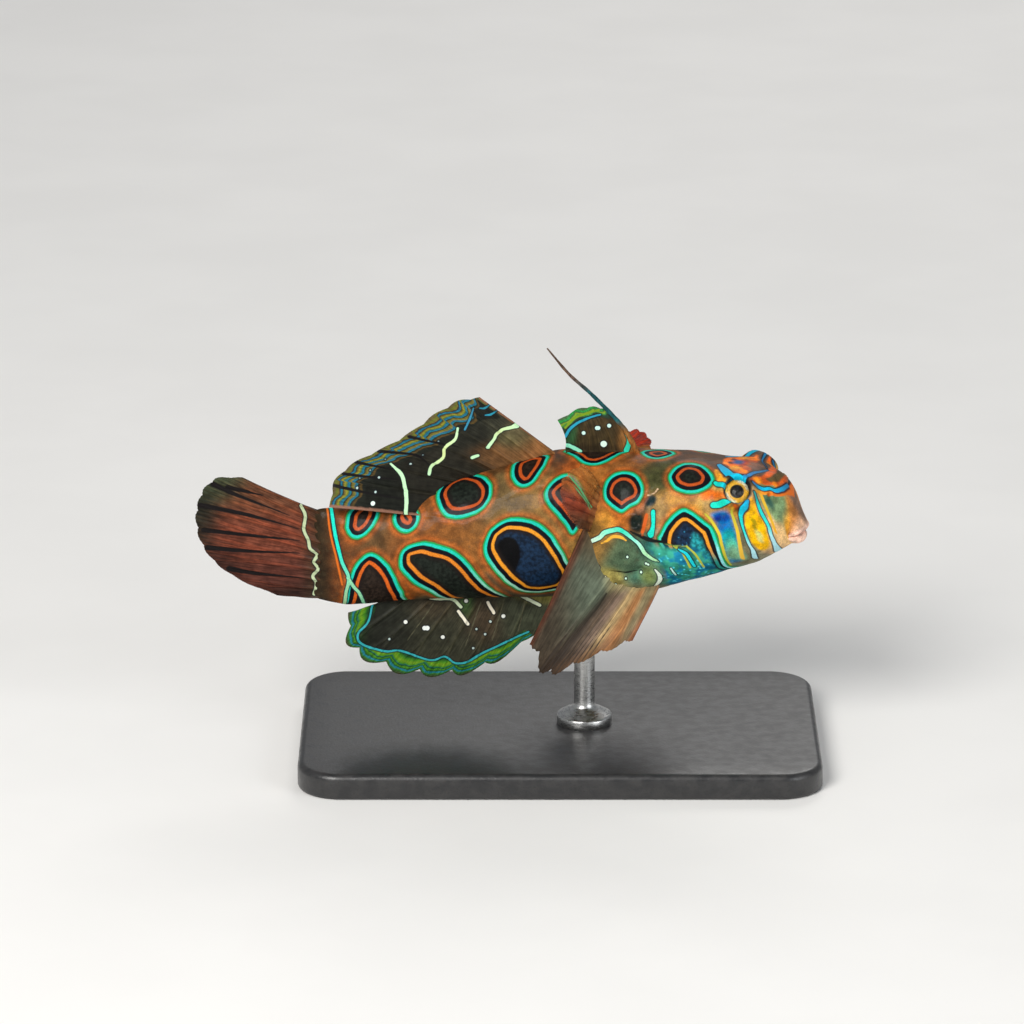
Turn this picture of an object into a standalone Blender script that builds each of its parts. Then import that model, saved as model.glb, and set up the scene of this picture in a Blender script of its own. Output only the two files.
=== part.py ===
"""A still, life-size spotted mandarinfish on a plain display stand.

Run with: blender --background --python part.py. Shapes are worked out in millimetres and scaled by MM, so
the scene is in metres, with +Z up. The fish lies along X with its head toward +X and its right side toward
-Y. The origin is the centre of the stand's underside.
"""

import math

import bmesh
import bpy
import numpy as np

MM = 0.001
GAP = 0.3  # between pieces that meet

# The body as seen from the side and from above: (place along X, value), in millimetres.
BACK = ((-27.2, 29.6), (-24.0, 29.6), (-18.4, 30.4), (-12.6, 32.3), (-6.9, 34.1), (0.0, 35.8), (8.0, 36.0),
        (18.0, 36.0), (21.4, 35.7), (23.6, 35.2), (25.0, 34.7), (25.9, 33.7), (26.8, 32.0), (27.5, 30.5))
BELLY = ((-27.2, 18.5), (-24.5, 17.9), (-20.0, 18.2), (-12.6, 18.4), (-2.3, 18.7), (4.6, 19.0), (11.5, 20.4),
         (18.4, 22.9), (23.6, 24.85), (25.4, 26.0), (26.8, 27.2), (27.5, 27.9))
HALF_WIDTH = ((-27.2, 1.3), (-24.2, 2.5), (-18.4, 3.8), (-6.9, 5.9), (1.2, 6.8), (11.5, 7.4), (18.4, 6.6),
              (23.6, 5.0), (25.4, 3.9), (26.8, 2.6), (27.5, 1.5))

# The fish looks toward its right: the head turns this way ahead of the neck, the tail a little behind.
NECK_X = 8.0
HEAD_TURN = 0.31  # sideways run for each millimetre forward
LOIN_X = -13.0
TAIL_TURN = 0.12

STALK_END = -27.2
STALK_FRONT = -12.0
GILL_EDGE = 8.6
SNOUT_END = 27.5

EYE_X = 21.65
EYE_ANGLE = math.radians(52.5)
EYE_RADIUS = 1.5
LID_RADIUS = 1.65
LID_THICKNESS = 0.5

MOUTH = (26.4, 28.4)  # place along X and height of the mouth's middle
LIP_REACH = 1.3
LIP_HALF_WIDTH = 1.9
LIP_RADIUS = 0.65

MEMBRANE = 0.55
RIDGE = 0.4  # how much thicker a fin is along its rays

BASE_SIZE = (60.0, 36.0, 3.0)
BASE_CORNER = 5.0
ROD_X = 2.9
ROD_RADIUS = 1.2


def clear_scene():
    for piece in list(bpy.data.objects):
        bpy.data.objects.remove(piece)


def material(name, colour, roughness, metallic=0.0):
    made = bpy.data.materials.new(name)
    made.use_nodes = True
    shader = made.node_tree.nodes["Principled BSDF"]
    shader.inputs["Base Color"].default_value = (*colour, 1.0)
    shader.inputs["Roughness"].default_value = roughness
    shader.inputs["Metallic"].default_value = metallic
    return made


def solid(name, points, faces, look=None):
    """An object from points in millimetres and faces, with its normals outward."""
    mesh = bpy.data.meshes.new(name)
    mesh.from_pydata((np.asarray(points) * MM).tolist(), [], faces)
    shape = bmesh.new()
    shape.from_mesh(mesh)
    bmesh.ops.recalc_face_normals(shape, faces=shape.faces)
    shape.to_mesh(mesh)
    shape.free()
    piece = bpy.data.objects.new(name, mesh)
    bpy.context.scene.collection.objects.link(piece)
    if look:
        mesh.materials.append(look)
    return piece


def through(knots, at):
    """A smooth line through (place, value) knots, read at the places in `at`."""
    place = np.array([knot[0] for knot in knots], float)
    value = np.array([knot[1] for knot in knots], float)
    slope = np.gradient(value, place, axis=0)
    at = np.clip(at, place[0], place[-1])
    i = np.clip(np.searchsorted(place, at, side="right") - 1, 0, len(place) - 2)
    step = place[i + 1] - place[i]
    t = (at - place[i]) / step
    if value.ndim > 1:
        t, step = t[..., None], step[..., None]
    ends = (2 * t**3 - 3 * t**2 + 1) * value[i] + (3 * t**2 - 2 * t**3) * value[i + 1]
    return ends + (t**3 - 2 * t**2 + t) * step * slope[i] + (t**3 - t**2) * step * slope[i + 1]


def bend(distance, width):
    """Zero before the bend and a straight slope of one after it, with a soft turn between."""
    return width * np.log1p(np.exp(distance / width))


def axis_y(x):
    return -HEAD_TURN * bend(x - NECK_X, 2.6) - TAIL_TURN * bend(LOIN_X - x, 2.0)


def axis_frame(x):
    """The body's middle at x, with the directions to its right side and forward, both level."""
    x = np.asarray(x, float)
    height = (through(BACK, x) + through(BELLY, x)) / 2
    middle = np.stack([x, axis_y(x), height], -1)
    slope = (axis_y(x + 0.01) - axis_y(x - 0.01)) / 0.02
    forward = np.stack([np.ones_like(x), slope, np.zeros_like(x)], -1)
    forward /= np.linalg.norm(forward, axis=-1, keepdims=True)
    right = np.cross(forward, (0.0, 0.0, 1.0))
    return middle, right, forward


def plain_body(x, angle, grow):
    """Body points and outward directions, before any swelling. The angle runs from the back down the right."""
    x, angle = np.broadcast_arrays(np.asarray(x, float), angle)
    middle, right, _ = axis_frame(x)
    up = np.array((0.0, 0.0, 1.0))
    width = through(HALF_WIDTH, x) + grow
    height = (through(BACK, x) - through(BELLY, x)) / 2 + grow
    power = 2 / through(((STALK_END, 2.0), (0.0, 2.15), (18.0, 2.4), (SNOUT_END, 2.1)), x)
    side = width * np.sign(np.sin(angle)) * np.abs(np.sin(angle)) ** power
    rise = height * np.sign(np.cos(angle)) * np.abs(np.cos(angle)) ** power
    points = middle + right * side[..., None] + up * rise[..., None]
    outward = right * (side / width**2)[..., None] + up * (rise / height**2)[..., None]
    outward /= np.linalg.norm(outward, axis=-1, keepdims=True)
    return points, outward


# Soft swellings: place along X, angle from the back, reach and height in millimetres, alike on both sides.
SWELLINGS = (
    (EYE_X, EYE_ANGLE, 2.2, 1.2),
    (15.5, math.radians(112), 4.5, 0.5),
    (4.2, math.radians(66), 2.4, 0.5),
    (7.5, math.radians(128), 4.0, 0.6),
)


def body_points(x, angle, grow=0.0):
    points, outward = plain_body(x, angle, grow)
    lift = np.zeros(points.shape[:-1])
    for place, turn, reach, height in SWELLINGS:
        for side in (-1, 1):
            centre, _ = plain_body(place, side * turn, 0.0)
            distance = np.linalg.norm(points - centre, axis=-1)
            lift += height * np.exp(-((distance / reach) ** 2))
    return points + outward * lift[..., None]


def body_place(x, angle):
    """One point of the body's surface with the direction out of it."""
    point = body_points(x, angle)
    ahead = body_points(x + 0.05, angle) - point
    round_it = body_points(x, angle + 0.01) - point
    outward = np.cross(ahead, round_it)
    outward /= np.linalg.norm(outward)
    middle, _, _ = axis_frame(x)
    return point, outward if np.dot(outward, point - middle) > 0 else -outward


def grid_faces(rows, columns, closed_round):
    """Four-sided faces of a grid of points kept row by row, joined round each row if asked."""
    last = columns if closed_round else columns - 1
    return [
        (r * columns + c, r * columns + (c + 1) % columns,
         (r + 1) * columns + (c + 1) % columns, (r + 1) * columns + c)
        for r in range(rows - 1)
        for c in range(last)
    ]


def body_length(name, start, end, step, around, look=None, grow=0.0):
    """A length of the body between two stations, with flat ends."""
    rings = max(3, round((end - start) / step) + 1)
    x = np.linspace(start, end, rings)[:, None]
    angle = np.linspace(0, 2 * math.pi, around, endpoint=False)[None, :]
    points = body_points(x, angle, grow).reshape(-1, 3)
    faces = grid_faces(rings, around, True)
    faces.append(tuple(range(around)))
    faces.append(tuple(range((rings - 1) * around, rings * around)))
    return solid(name, points, faces, look)


def fixed_mesh(piece):
    """Applies the modifiers of a piece."""
    bpy.context.view_layer.update()
    graph = bpy.context.evaluated_depsgraph_get()
    mesh = bpy.data.meshes.new_from_object(piece.evaluated_get(graph))
    piece.modifiers.clear()
    piece.data = mesh


def keep_largest(piece):
    """Keeps the largest closed surface of a piece."""
    shape = bmesh.new()
    shape.from_mesh(piece.data)
    left = set(shape.verts)
    groups = []
    while left:
        group = {left.pop()}
        edge = list(group)
        while edge:
            point = edge.pop()
            for line in point.link_edges:
                other = line.other_vert(point)
                if other in left:
                    left.remove(other)
                    group.add(other)
                    edge.append(other)
        groups.append(group)
    groups.sort(key=len)
    for group in groups[:-1]:
        bmesh.ops.delete(shape, geom=list(group), context="VERTS")
    bmesh.ops.dissolve_degenerate(shape, edges=shape.edges, dist=1e-6)
    bmesh.ops.triangulate(shape, faces=shape.faces)
    shape.to_mesh(piece.data)
    shape.free()


def boolean(piece, tool, operation):
    """Joins or cuts a piece with one tool, and removes the tool."""
    change = piece.modifiers.new(operation.lower(), "BOOLEAN")
    change.operation = operation
    change.object = tool
    fixed_mesh(piece)
    bpy.data.objects.remove(tool)
    keep_largest(piece)


def join(piece, more):
    """One union of a piece with several others."""
    group = bpy.data.collections.new("union")
    bpy.context.scene.collection.children.link(group)
    for other in more:
        bpy.context.scene.collection.objects.unlink(other)
        group.objects.link(other)
    change = piece.modifiers.new("union", "BOOLEAN")
    change.operation = "UNION"
    change.operand_type = "COLLECTION"
    change.collection = group
    fixed_mesh(piece)
    for other in more:
        bpy.data.objects.remove(other)
    bpy.data.collections.remove(group)
    keep_largest(piece)


def clear_of_body(piece):
    """Cuts a piece back to GAP from the body's surface."""
    boolean(piece, body_length("grown body", STALK_END - 0.2, SNOUT_END, 1.2, 40, grow=GAP), "DIFFERENCE")


def ball(name, centre, sizes, axis, columns=16, rows=9, look=None):
    """An ellipsoid with its third size along the axis."""
    axis = np.asarray(axis, float) / np.linalg.norm(axis)
    first = np.cross(axis, (0.0, 0.0, 1.0))
    first /= np.linalg.norm(first)
    second = np.cross(axis, first)
    tilt = np.linspace(0, math.pi, rows + 1)[1:-1, None]
    turn = np.linspace(0, 2 * math.pi, columns, endpoint=False)[None, :]
    local = (np.sin(tilt) * np.cos(turn), np.sin(tilt) * np.sin(turn), np.cos(tilt))
    local = np.stack(np.broadcast_arrays(*local), -1)
    poles = np.array(((0.0, 0.0, 1.0), (0.0, 0.0, -1.0)))
    local = np.concatenate([local.reshape(-1, 3), poles]) * sizes
    points = np.asarray(centre) + local @ np.stack([first, second, axis])
    faces = grid_faces(rows - 1, columns, True)
    top, bottom = len(points) - 2, len(points) - 1
    last = (rows - 2) * columns
    for c in range(columns):
        faces.append((top, c, (c + 1) % columns))
        faces.append((bottom, last + (c + 1) % columns, last + c))
    return solid(name, points, faces, look)


def tube(name, path, radii, sides, look=None, flatten=1.0):
    """A round or flattened tube with flat ends along a path, with one radius for each point."""
    path = np.asarray(path, float)
    along = np.gradient(path, axis=0)
    along /= np.linalg.norm(along, axis=1, keepdims=True)
    across = np.cross(along, (0.0, 0.0, 1.0))
    across /= np.linalg.norm(across, axis=1, keepdims=True)
    over = np.cross(across, along)
    turn = np.linspace(0, 2 * math.pi, sides, endpoint=False)[None, :, None]
    radii = np.asarray(radii, float)[:, None, None]
    rings = path[:, None] + radii * (np.cos(turn) * across[:, None] + flatten * np.sin(turn) * over[:, None])
    faces = grid_faces(len(path), sides, True)
    faces.append(tuple(range(sides)))
    faces.append(tuple(range((len(path) - 1) * sides, len(path) * sides)))
    return solid(name, rings.reshape(-1, 3), faces, look)


def ring(name, centre, axis, radius, thickness, columns=20, sides=6):
    """A torus round an axis."""
    axis = np.asarray(axis, float) / np.linalg.norm(axis)
    first = np.cross(axis, (0.0, 0.0, 1.0))
    first /= np.linalg.norm(first)
    second = np.cross(axis, first)
    turn = np.linspace(0, 2 * math.pi, columns, endpoint=False)[:, None, None]
    tilt = np.linspace(0, 2 * math.pi, sides, endpoint=False)[None, :, None]
    out = np.cos(turn) * first + np.sin(turn) * second
    points = np.asarray(centre) + out * (radius + thickness * np.cos(tilt)) + axis * thickness * np.sin(tilt)
    faces = grid_faces(columns, sides, True)
    last = (columns - 1) * sides
    faces += [(last + s, last + (s + 1) % sides, (s + 1) % sides, s) for s in range(sides)]
    return solid(name, points.reshape(-1, 3), faces)


# How far across one gap between two rays each column of a fin stands. The first is on the ray.
COLUMNS_IN_GAP = (0.0, 0.2, 0.5, 0.8)


def fin(name, roots, tips, look, rows=8, bow=(0.0, 0.0, 0.0), scallop=0.1, sink=0.0, root_swell=0.0,
        columns=COLUMNS_IN_GAP):
    """A fin with one ray from each root to its tip. Each ray is a ridge raised in the membrane's own surface.

    The middle surface runs straight from the root line to the tips, pushed aside by `bow` half way, and the
    margin dips between the rays by the share `scallop`. It starts `sink` millimetres below the root line.
    Both faces are split into triangles alike.
    """
    gaps = len(roots) - 1
    ray = np.array([gap + part for gap in range(gaps) for part in columns] + [gaps], float)[:, None]
    along = np.linspace(0, 1, rows)[None, :]
    root = through(list(enumerate(np.array(roots, float))), ray)
    tip = through(list(enumerate(np.array(tips, float))), ray)
    reach = np.linalg.norm(tip - root, axis=-1, keepdims=True)
    start = -sink / reach
    reached = (1 - scallop * (1 - np.abs(np.cos(math.pi * ray))))[..., None]
    share = start + (reached - start) * along[..., None]
    within = np.clip(share, 0, 1)
    middle = root + (tip - root) * share + np.array(bow) * 4 * within * (1 - within)
    face = np.cross(np.gradient(middle, axis=0), np.gradient(middle, axis=1))
    face /= np.linalg.norm(face, axis=-1, keepdims=True)
    on_ray = np.abs(ray - np.round(ray)) < 1e-6
    inner = np.sin(math.pi * np.clip(ray / gaps, 0.04, 0.96))
    thickness = MEMBRANE + RIDGE * on_ray * (1 - 0.6 * along)
    thickness = thickness + root_swell * inner * np.clip(1 - along / 0.35, 0, 1) ** 2
    half = (thickness / 2)[..., None]
    front, back = middle + face * half, middle - face * half
    wide, tall = front.shape[:2]
    points = np.concatenate([front.reshape(-1, 3), back.reshape(-1, 3)])
    other = wide * tall
    faces = []
    for a in range(wide - 1):
        for b in range(tall - 1):
            p, q, r, s = a * tall + b, (a + 1) * tall + b, (a + 1) * tall + b + 1, a * tall + b + 1
            faces += [(p, q, r), (p, r, s)]
            faces += [(other + p, other + r, other + q), (other + p, other + s, other + r)]
    rim = [a * tall for a in range(wide)]
    rim += [(wide - 1) * tall + b for b in range(1, tall)]
    rim += [a * tall + tall - 1 for a in range(wide - 2, -1, -1)]
    rim += [b for b in range(tall - 2, 0, -1)]
    for here, after in zip(rim, rim[1:] + rim[:1]):
        faces += [(here, other + here, other + after), (here, other + after, after)]
    return solid(name, points, faces, look)


def mirrored(points):
    """The same places on the other side of the bent body."""
    points = np.array(points, float)
    middle, right, _ = axis_frame(points[:, 0])
    for _ in range(3):
        station = points[:, 0] - right[:, 0] * np.einsum("ij,ij->i", points - middle, right)
        middle, right, _ = axis_frame(station)
    side = np.einsum("ij,ij->i", points - middle, right)
    return points - 2 * right * side[:, None]


def lips(grow=0.0, looks=(None, None)):
    """The upper and the lower lip: two horseshoes round the front of the snout, thin at the corners."""
    middle, right, forward = axis_frame(MOUTH[0])
    middle = np.array((middle[0], middle[1], MOUTH[1]))
    turn = np.radians(np.linspace(-84, 84, 13))
    radii = LIP_RADIUS * (0.45 + 0.55 * np.cos(turn) ** 0.7) + grow
    pieces = []
    halves = (("upper_lip", 1, LIP_REACH, looks[0]), ("lower_lip", -1, LIP_REACH - 0.25, looks[1]))
    for name, up, reach, look in halves:
        path = middle + np.outer(reach * np.cos(turn), forward)
        path += np.outer(LIP_HALF_WIDTH * np.sin(turn), right)
        path[:, 2] += up * (GAP / 2 + 1.02 * (radii - grow)) - 0.25 * np.sin(turn) ** 2
        pieces.append(tube(name, path, radii, 8, look))
    return pieces


def eye_place(side):
    """The middle of an eyeball and the way it looks."""
    point, outward = body_place(EYE_X, side * EYE_ANGLE)
    return point - outward * (EYE_RADIUS - 0.25), outward


def make_head(look):
    head = body_length("head", GILL_EDGE + GAP / 2, SNOUT_END, 0.8, 36, look)
    added, cut = [], []
    for side in (-1, 1):
        centre, outward = eye_place(side)
        added.append(ring("lid", centre + outward * 0.75, outward, LID_RADIUS, LID_THICKNESS))
        cut.append(ball("socket", centre, (EYE_RADIUS + 0.25,) * 3, outward))
        nostril, away = body_place(24.7, side * math.radians(50))
        added.append(tube("nostril rim", [nostril - away * 0.5, nostril + away * 0.3], [0.5, 0.36], 8))
        cut.append(tube("nostril", [nostril - away * 0.5, nostril + away * 0.6], [0.18, 0.2], 6))
        pore, away = body_place(9.8, side * math.radians(79))
        cut.append(ball("gill opening", pore, (0.7, 0.5, 0.6), away, 10, 6))
        spine, away = body_place(11.6, side * math.radians(88))
        back, _ = body_place(9.9, side * math.radians(84))
        path = [spine - away * 0.5, (spine + back) / 2 + away * 0.35]
        path += [back + away * 0.45, back + away * 0.8 + (-0.9, 0, 0.3)]
        added.append(tube("cheek spine", path, [0.55, 0.45, 0.3, 0.1], 6))
    join(head, added)
    for tool in cut:
        boolean(head, tool, "DIFFERENCE")
    for tool in lips(grow=GAP):
        boolean(head, tool, "DIFFERENCE")
    return head


# Fins: the root and the tip of each ray, from the front of the fin to its rear edge.
FIRST_DORSAL_ROOTS = [(x, -0.3, 36.2) for x in (8.6, 6.2, 3.4, 0.6)]
FIRST_DORSAL_TIPS = ((5.1, -0.3, 41.1), (3.8, -0.35, 41.4), (2.0, -0.3, 41.1), (-0.3, -0.1, 39.7))
LONG_SPINE = ((9.0, -0.5, 35.6), (7.6, -0.5, 38.3), (6.1, -0.4, 40.2), (3.4, -0.3, 43.0), (1.0, -0.2, 45.2),
              (-1.5, 0.0, 48.2))
SECOND_DORSAL_TIPS = ((-9.2, 0.0, 42.4), (-11.7, -0.1, 42.0), (-14.5, -0.3, 40.4), (-17.2, -0.6, 38.4),
                      (-20.2, -1.0, 36.7), (-23.5, -1.8, 35.2), (-25.8, -2.8, 33.3), (-26.4, -3.8, 30.4))
FOLDED_RAYS = {6: (-14.9, 16), 7: (-17.4, 40)}  # ray number: root along X, degrees from the back
ANAL_TIPS = ((-2.4, -0.2, 14.1), (-6.9, -0.3, 10.6), (-11.1, -0.5, 8.9), (-14.9, -0.7, 8.7),
             (-18.8, -0.9, 9.2), (-22.6, -1.2, 10.9), (-24.7, -1.5, 13.2), (-24.4, -1.5, 16.9))
CAUDAL_TIPS = ((-36.3, -3.2, 33.8), (-39.0, -3.5, 33.9), (-40.6, -3.8, 32.8), (-41.4, -4.0, 31.1),
               (-41.7, -4.1, 29.2), (-41.4, -4.1, 27.0), (-40.5, -4.0, 25.0), (-38.9, -3.7, 23.1),
               (-36.4, -3.3, 21.3), (-32.6, -2.8, 19.5))
PECTORAL_TIPS = ((2.5, -9.4, 37.4), (1.1, -10.1, 36.9), (0.1, -10.6, 35.9), (-0.1, -10.9, 34.5),
                 (0.2, -11.0, 32.9), (0.9, -10.9, 31.4), (1.9, -10.4, 30.0))
FAR_PECTORAL_TIPS = ((10.7, 8.0, 33.4), (10.7, 9.0, 34.4), (10.0, 9.9, 35.1), (9.0, 10.4, 35.4),
                     (7.7, 10.6, 35.0), (6.4, 10.6, 34.0), (5.4, 10.3, 32.5))
PELVIC_ROOTS = ((11.8, -5.4, 22.6), (10.2, -5.8, 22.1), (8.8, -6.1, 22.0), (7.4, -6.4, 22.4),
                (5.8, -6.7, 23.4), (3.4, -6.7, 30.4))
FAR_PELVIC_SHIFT = (1.8, 0.6, 0.8)
PELVIC_TIPS = ((8.2, -10.6, 16.6), (5.8, -11.0, 15.6), (2.6, -11.0, 14.2), (-0.6, -10.4, 12.4),
               (-2.4, -9.6, 12.4), (-3.5, -9.0, 15.6))


def back_roots(count, start, end, depth):
    """Ray roots along the back, from front to rear."""
    return [(x, float(axis_y(x)), float(through(BACK, x)) - depth) for x in np.linspace(start, end, count)]


def belly_roots(count, start, end, depth):
    return [(x, float(axis_y(x)), float(through(BELLY, x)) + depth) for x in np.linspace(start, end, count)]


def make_first_dorsal(look):
    """The small sail, with its first spine drawn out long."""
    piece = fin("first_dorsal_fin", FIRST_DORSAL_ROOTS, FIRST_DORSAL_TIPS, look, rows=6, bow=(0.4, -0.3, 0),
                scallop=0.03, sink=1.2)
    path = through(list(enumerate(np.array(LONG_SPINE))), np.linspace(0, len(LONG_SPINE) - 1, 13))
    join(piece, [tube("long spine", path, np.linspace(0.5, 0.2, len(path)), 8)])
    clear_of_body(piece)


def make_second_dorsal(look):
    """The large sail. Its last two rays are folded down over the right side of the back."""
    roots = back_roots(len(SECOND_DORSAL_TIPS), -0.6, -16.8, 0.0)
    for ray, (x, angle) in FOLDED_RAYS.items():
        roots[ray] = tuple(body_place(x, math.radians(angle))[0])
    clear_of_body(fin("second_dorsal_fin", roots, SECOND_DORSAL_TIPS, look, rows=9, bow=(0, -0.5, 0.2),
                      scallop=0.04, sink=1.2))


def make_anal(look):
    roots = belly_roots(len(ANAL_TIPS), -0.6, -20.4, 0.0)
    clear_of_body(fin("anal_fin", roots, ANAL_TIPS, look, rows=8, bow=(0, -0.4, 0), scallop=0.1, sink=1.2))


def make_caudal(look):
    x = STALK_END - GAP
    top, bottom = float(through(BACK, x)) - 0.4, float(through(BELLY, x)) + 0.4
    roots = [(x, float(axis_y(x)), z) for z in np.linspace(top, bottom, len(CAUDAL_TIPS))]
    fin("caudal_fin", roots, CAUDAL_TIPS, look, rows=9, bow=(0, 0.5, -0.3), scallop=0.02, root_swell=1.4)


def make_pectoral(name, tips, side, look):
    along, angles = np.linspace(4.9, 3.6, len(tips)), np.radians(np.linspace(50, 84, len(tips)))
    roots = [body_place(x, side * angle)[0] for x, angle in zip(along, angles)]
    clear_of_body(fin(name, roots, tips, look, rows=6, bow=(0.3, -0.5 * side, 0.2), scallop=0.05, sink=1.0))


def make_pelvic(name, roots, tips, side, look):
    clear_of_body(fin(name, roots, tips, look, rows=9, bow=(0, -0.9 * side, 0.2), scallop=0.07, sink=1.2))


def make_stand(base_look, rod_look):
    length, width, height = BASE_SIZE
    turn = np.radians(np.linspace(0, 90, 6))
    outline = []
    for quarter, (sx, sy) in enumerate(((1, 1), (-1, 1), (-1, -1), (1, -1))):
        centre = np.array((sx * (length / 2 - BASE_CORNER), sy * (width / 2 - BASE_CORNER)))
        angle = turn + quarter * math.pi / 2
        outline += [tuple(centre + BASE_CORNER * np.array((math.cos(a), math.sin(a)))) for a in angle]
    outline = np.array(outline)
    inset = outline * (1 - 1.0 / length, 1 - 1.0 / width)
    rings = [(outline, 0.0), (outline, height - 0.5), (inset, height)]
    points = np.concatenate([np.column_stack([ring_xy, np.full(len(ring_xy), z)]) for ring_xy, z in rings])
    around = len(outline)
    faces = grid_faces(3, around, True) + [tuple(range(around)), tuple(range(2 * around, 3 * around))]
    solid("stand_base", points, faces, base_look)

    foot = height + GAP
    profile = ((3.2, foot), (3.2, foot + 0.8), (2.4, foot + 1.3), (ROD_RADIUS, foot + 2.0), (ROD_RADIUS, 21.0))
    turn = np.linspace(0, 2 * math.pi, 24, endpoint=False)
    rings = [np.column_stack([ROD_X + r * np.cos(turn), r * np.sin(turn), np.full(24, z)]) for r, z in profile]
    top = (len(profile) - 1) * 24
    faces = grid_faces(len(profile), 24, True) + [tuple(range(24)), tuple(range(top, top + 24))]
    clear_of_body(solid("stand_rod", np.concatenate(rings), faces, rod_look))


def main():
    """Makes every piece: first the body and its eyes, then the fins, then the stand."""
    clear_scene()
    skin = material("spotted skin", (0.62, 0.32, 0.10), 0.4)
    lip = material("lip", (0.80, 0.52, 0.45), 0.4)
    eye = material("eye", (0.05, 0.04, 0.03), 0.1)
    dark_fin = material("dark fin", (0.16, 0.13, 0.10), 0.45)
    red_fin = material("red fin", (0.55, 0.20, 0.13), 0.45)
    pale_fin = material("pale fin", (0.60, 0.45, 0.35), 0.45)

    make_head(skin)
    body_length("trunk", STALK_FRONT + GAP / 2, GILL_EDGE - GAP / 2, 1.7, 36, skin)
    body_length("tail_stalk", STALK_END, STALK_FRONT - GAP / 2, 1.8, 36, skin)
    lips(looks=(lip, lip))
    for name, side in (("eye_right", 1), ("eye_left", -1)):
        centre, outward = eye_place(side)
        ball(name, centre, (EYE_RADIUS,) * 3, outward, 20, 12, eye)

    make_first_dorsal(dark_fin)
    make_second_dorsal(dark_fin)
    make_anal(dark_fin)
    make_caudal(red_fin)
    make_pectoral("pectoral_fin_right", PECTORAL_TIPS, 1, red_fin)
    make_pectoral("pectoral_fin_left", FAR_PECTORAL_TIPS, -1, red_fin)
    make_pelvic("pelvic_fin_right", PELVIC_ROOTS, PELVIC_TIPS, 1, pale_fin)
    far_tips = mirrored(PELVIC_TIPS) + FAR_PELVIC_SHIFT
    make_pelvic("pelvic_fin_left", mirrored(PELVIC_ROOTS), far_tips, -1, pale_fin)
    make_stand(material("base", (0.03, 0.03, 0.03), 0.4), material("steel", (0.6, 0.6, 0.6), 0.3, 1.0))


main()
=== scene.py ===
# %% [markdown]
# # A spotted mandarinfish, life size, on a display stand
# The real fish is about seven centimetres long. Its skin has no scales, so rings and lines of colour run
# over it without a break, and its fins are thin webs held open by rays. A model of it could be sculpted
# by hand, but here every surface is a formula worked out with numpy, because a formula can be read,
# checked and changed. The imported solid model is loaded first, and every piece below is placed from the
# same named sizes.

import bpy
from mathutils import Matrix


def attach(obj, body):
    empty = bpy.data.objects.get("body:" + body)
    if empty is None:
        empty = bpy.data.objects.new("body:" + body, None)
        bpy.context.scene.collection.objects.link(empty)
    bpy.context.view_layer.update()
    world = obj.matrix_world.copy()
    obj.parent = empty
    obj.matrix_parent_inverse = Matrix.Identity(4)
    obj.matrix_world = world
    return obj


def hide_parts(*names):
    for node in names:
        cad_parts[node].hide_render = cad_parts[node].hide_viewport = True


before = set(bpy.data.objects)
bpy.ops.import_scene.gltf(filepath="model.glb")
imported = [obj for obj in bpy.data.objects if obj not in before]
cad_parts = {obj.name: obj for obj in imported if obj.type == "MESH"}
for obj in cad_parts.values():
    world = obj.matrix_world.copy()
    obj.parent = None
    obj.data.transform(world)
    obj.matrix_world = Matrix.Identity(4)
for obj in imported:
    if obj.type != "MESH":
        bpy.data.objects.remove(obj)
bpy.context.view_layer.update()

import math

import bpy
import numpy as np

MM = 0.001

# %% [markdown]
# ## Smooth lines through a few knots
# A body outline is easiest to give as a handful of measured places. A straight line between them would
# show corners, and one high polynomial would swing. A cubic for each step, with the slope at each knot
# taken from its two neighbours, passes through every knot and stays calm between them.

# %% Smooth lines


def through(knots, at):
    """Between two knots the value is the cubic that has each knot's value and slope at its ends."""
    place = np.array([knot[0] for knot in knots], float)
    value = np.array([knot[1] for knot in knots], float)
    slope = np.gradient(value, place, axis=0)
    at = np.clip(at, place[0], place[-1])
    i = np.clip(np.searchsorted(place, at, side="right") - 1, 0, len(place) - 2)
    step = place[i + 1] - place[i]
    t = (at - place[i]) / step
    if value.ndim > 1:
        t, step = t[..., None], step[..., None]
    ends = (2 * t**3 - 3 * t**2 + 1) * value[i] + (3 * t**2 - 2 * t**3) * value[i + 1]
    return ends + (t**3 - 2 * t**2 + t) * step * slope[i] + (t**3 - t**2) * step * slope[i + 1]


def open_value(knots, at):
    """The smooth line through knots numbered from nought, read where the number has any value."""
    return through(list(enumerate(knots)), at)


def open_line(knots, steps=10):
    """The same line, read at even steps of the number."""
    return open_value(knots, np.linspace(0, len(knots) - 1, (len(knots) - 1) * steps + 1))


def closed_line(knots, steps=7):
    """The same for a closed outline: knots are repeated beyond both ends, and cut off again at the end."""
    knots = np.array(knots, float)
    wrapped = np.concatenate([knots[-3:], knots, knots[:3]])
    return open_value(wrapped, np.linspace(3, 3 + len(knots), len(knots) * steps, endpoint=False))


def smooth_step(value, low, high):
    """Nought up to low, one from high, and three t squared less two t cubed between them."""
    t = np.clip((value - low) / (high - low), 0, 1)
    return t * t * (3 - 2 * t)


def unit(vectors):
    """Each vector divided by its own length."""
    return vectors / np.linalg.norm(vectors, axis=-1, keepdims=True)


# %% [markdown]
# ## The form of the body
# The body is a row of cross-sections along a gently bent axis: the fish turns its head toward the viewer.
# Each section is a rounded box between a circle and a square. Its top, bottom and half width come from
# three smooth lines, and a few soft swellings are added for the eye mounds, the cheek and the root of the
# fins.

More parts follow.
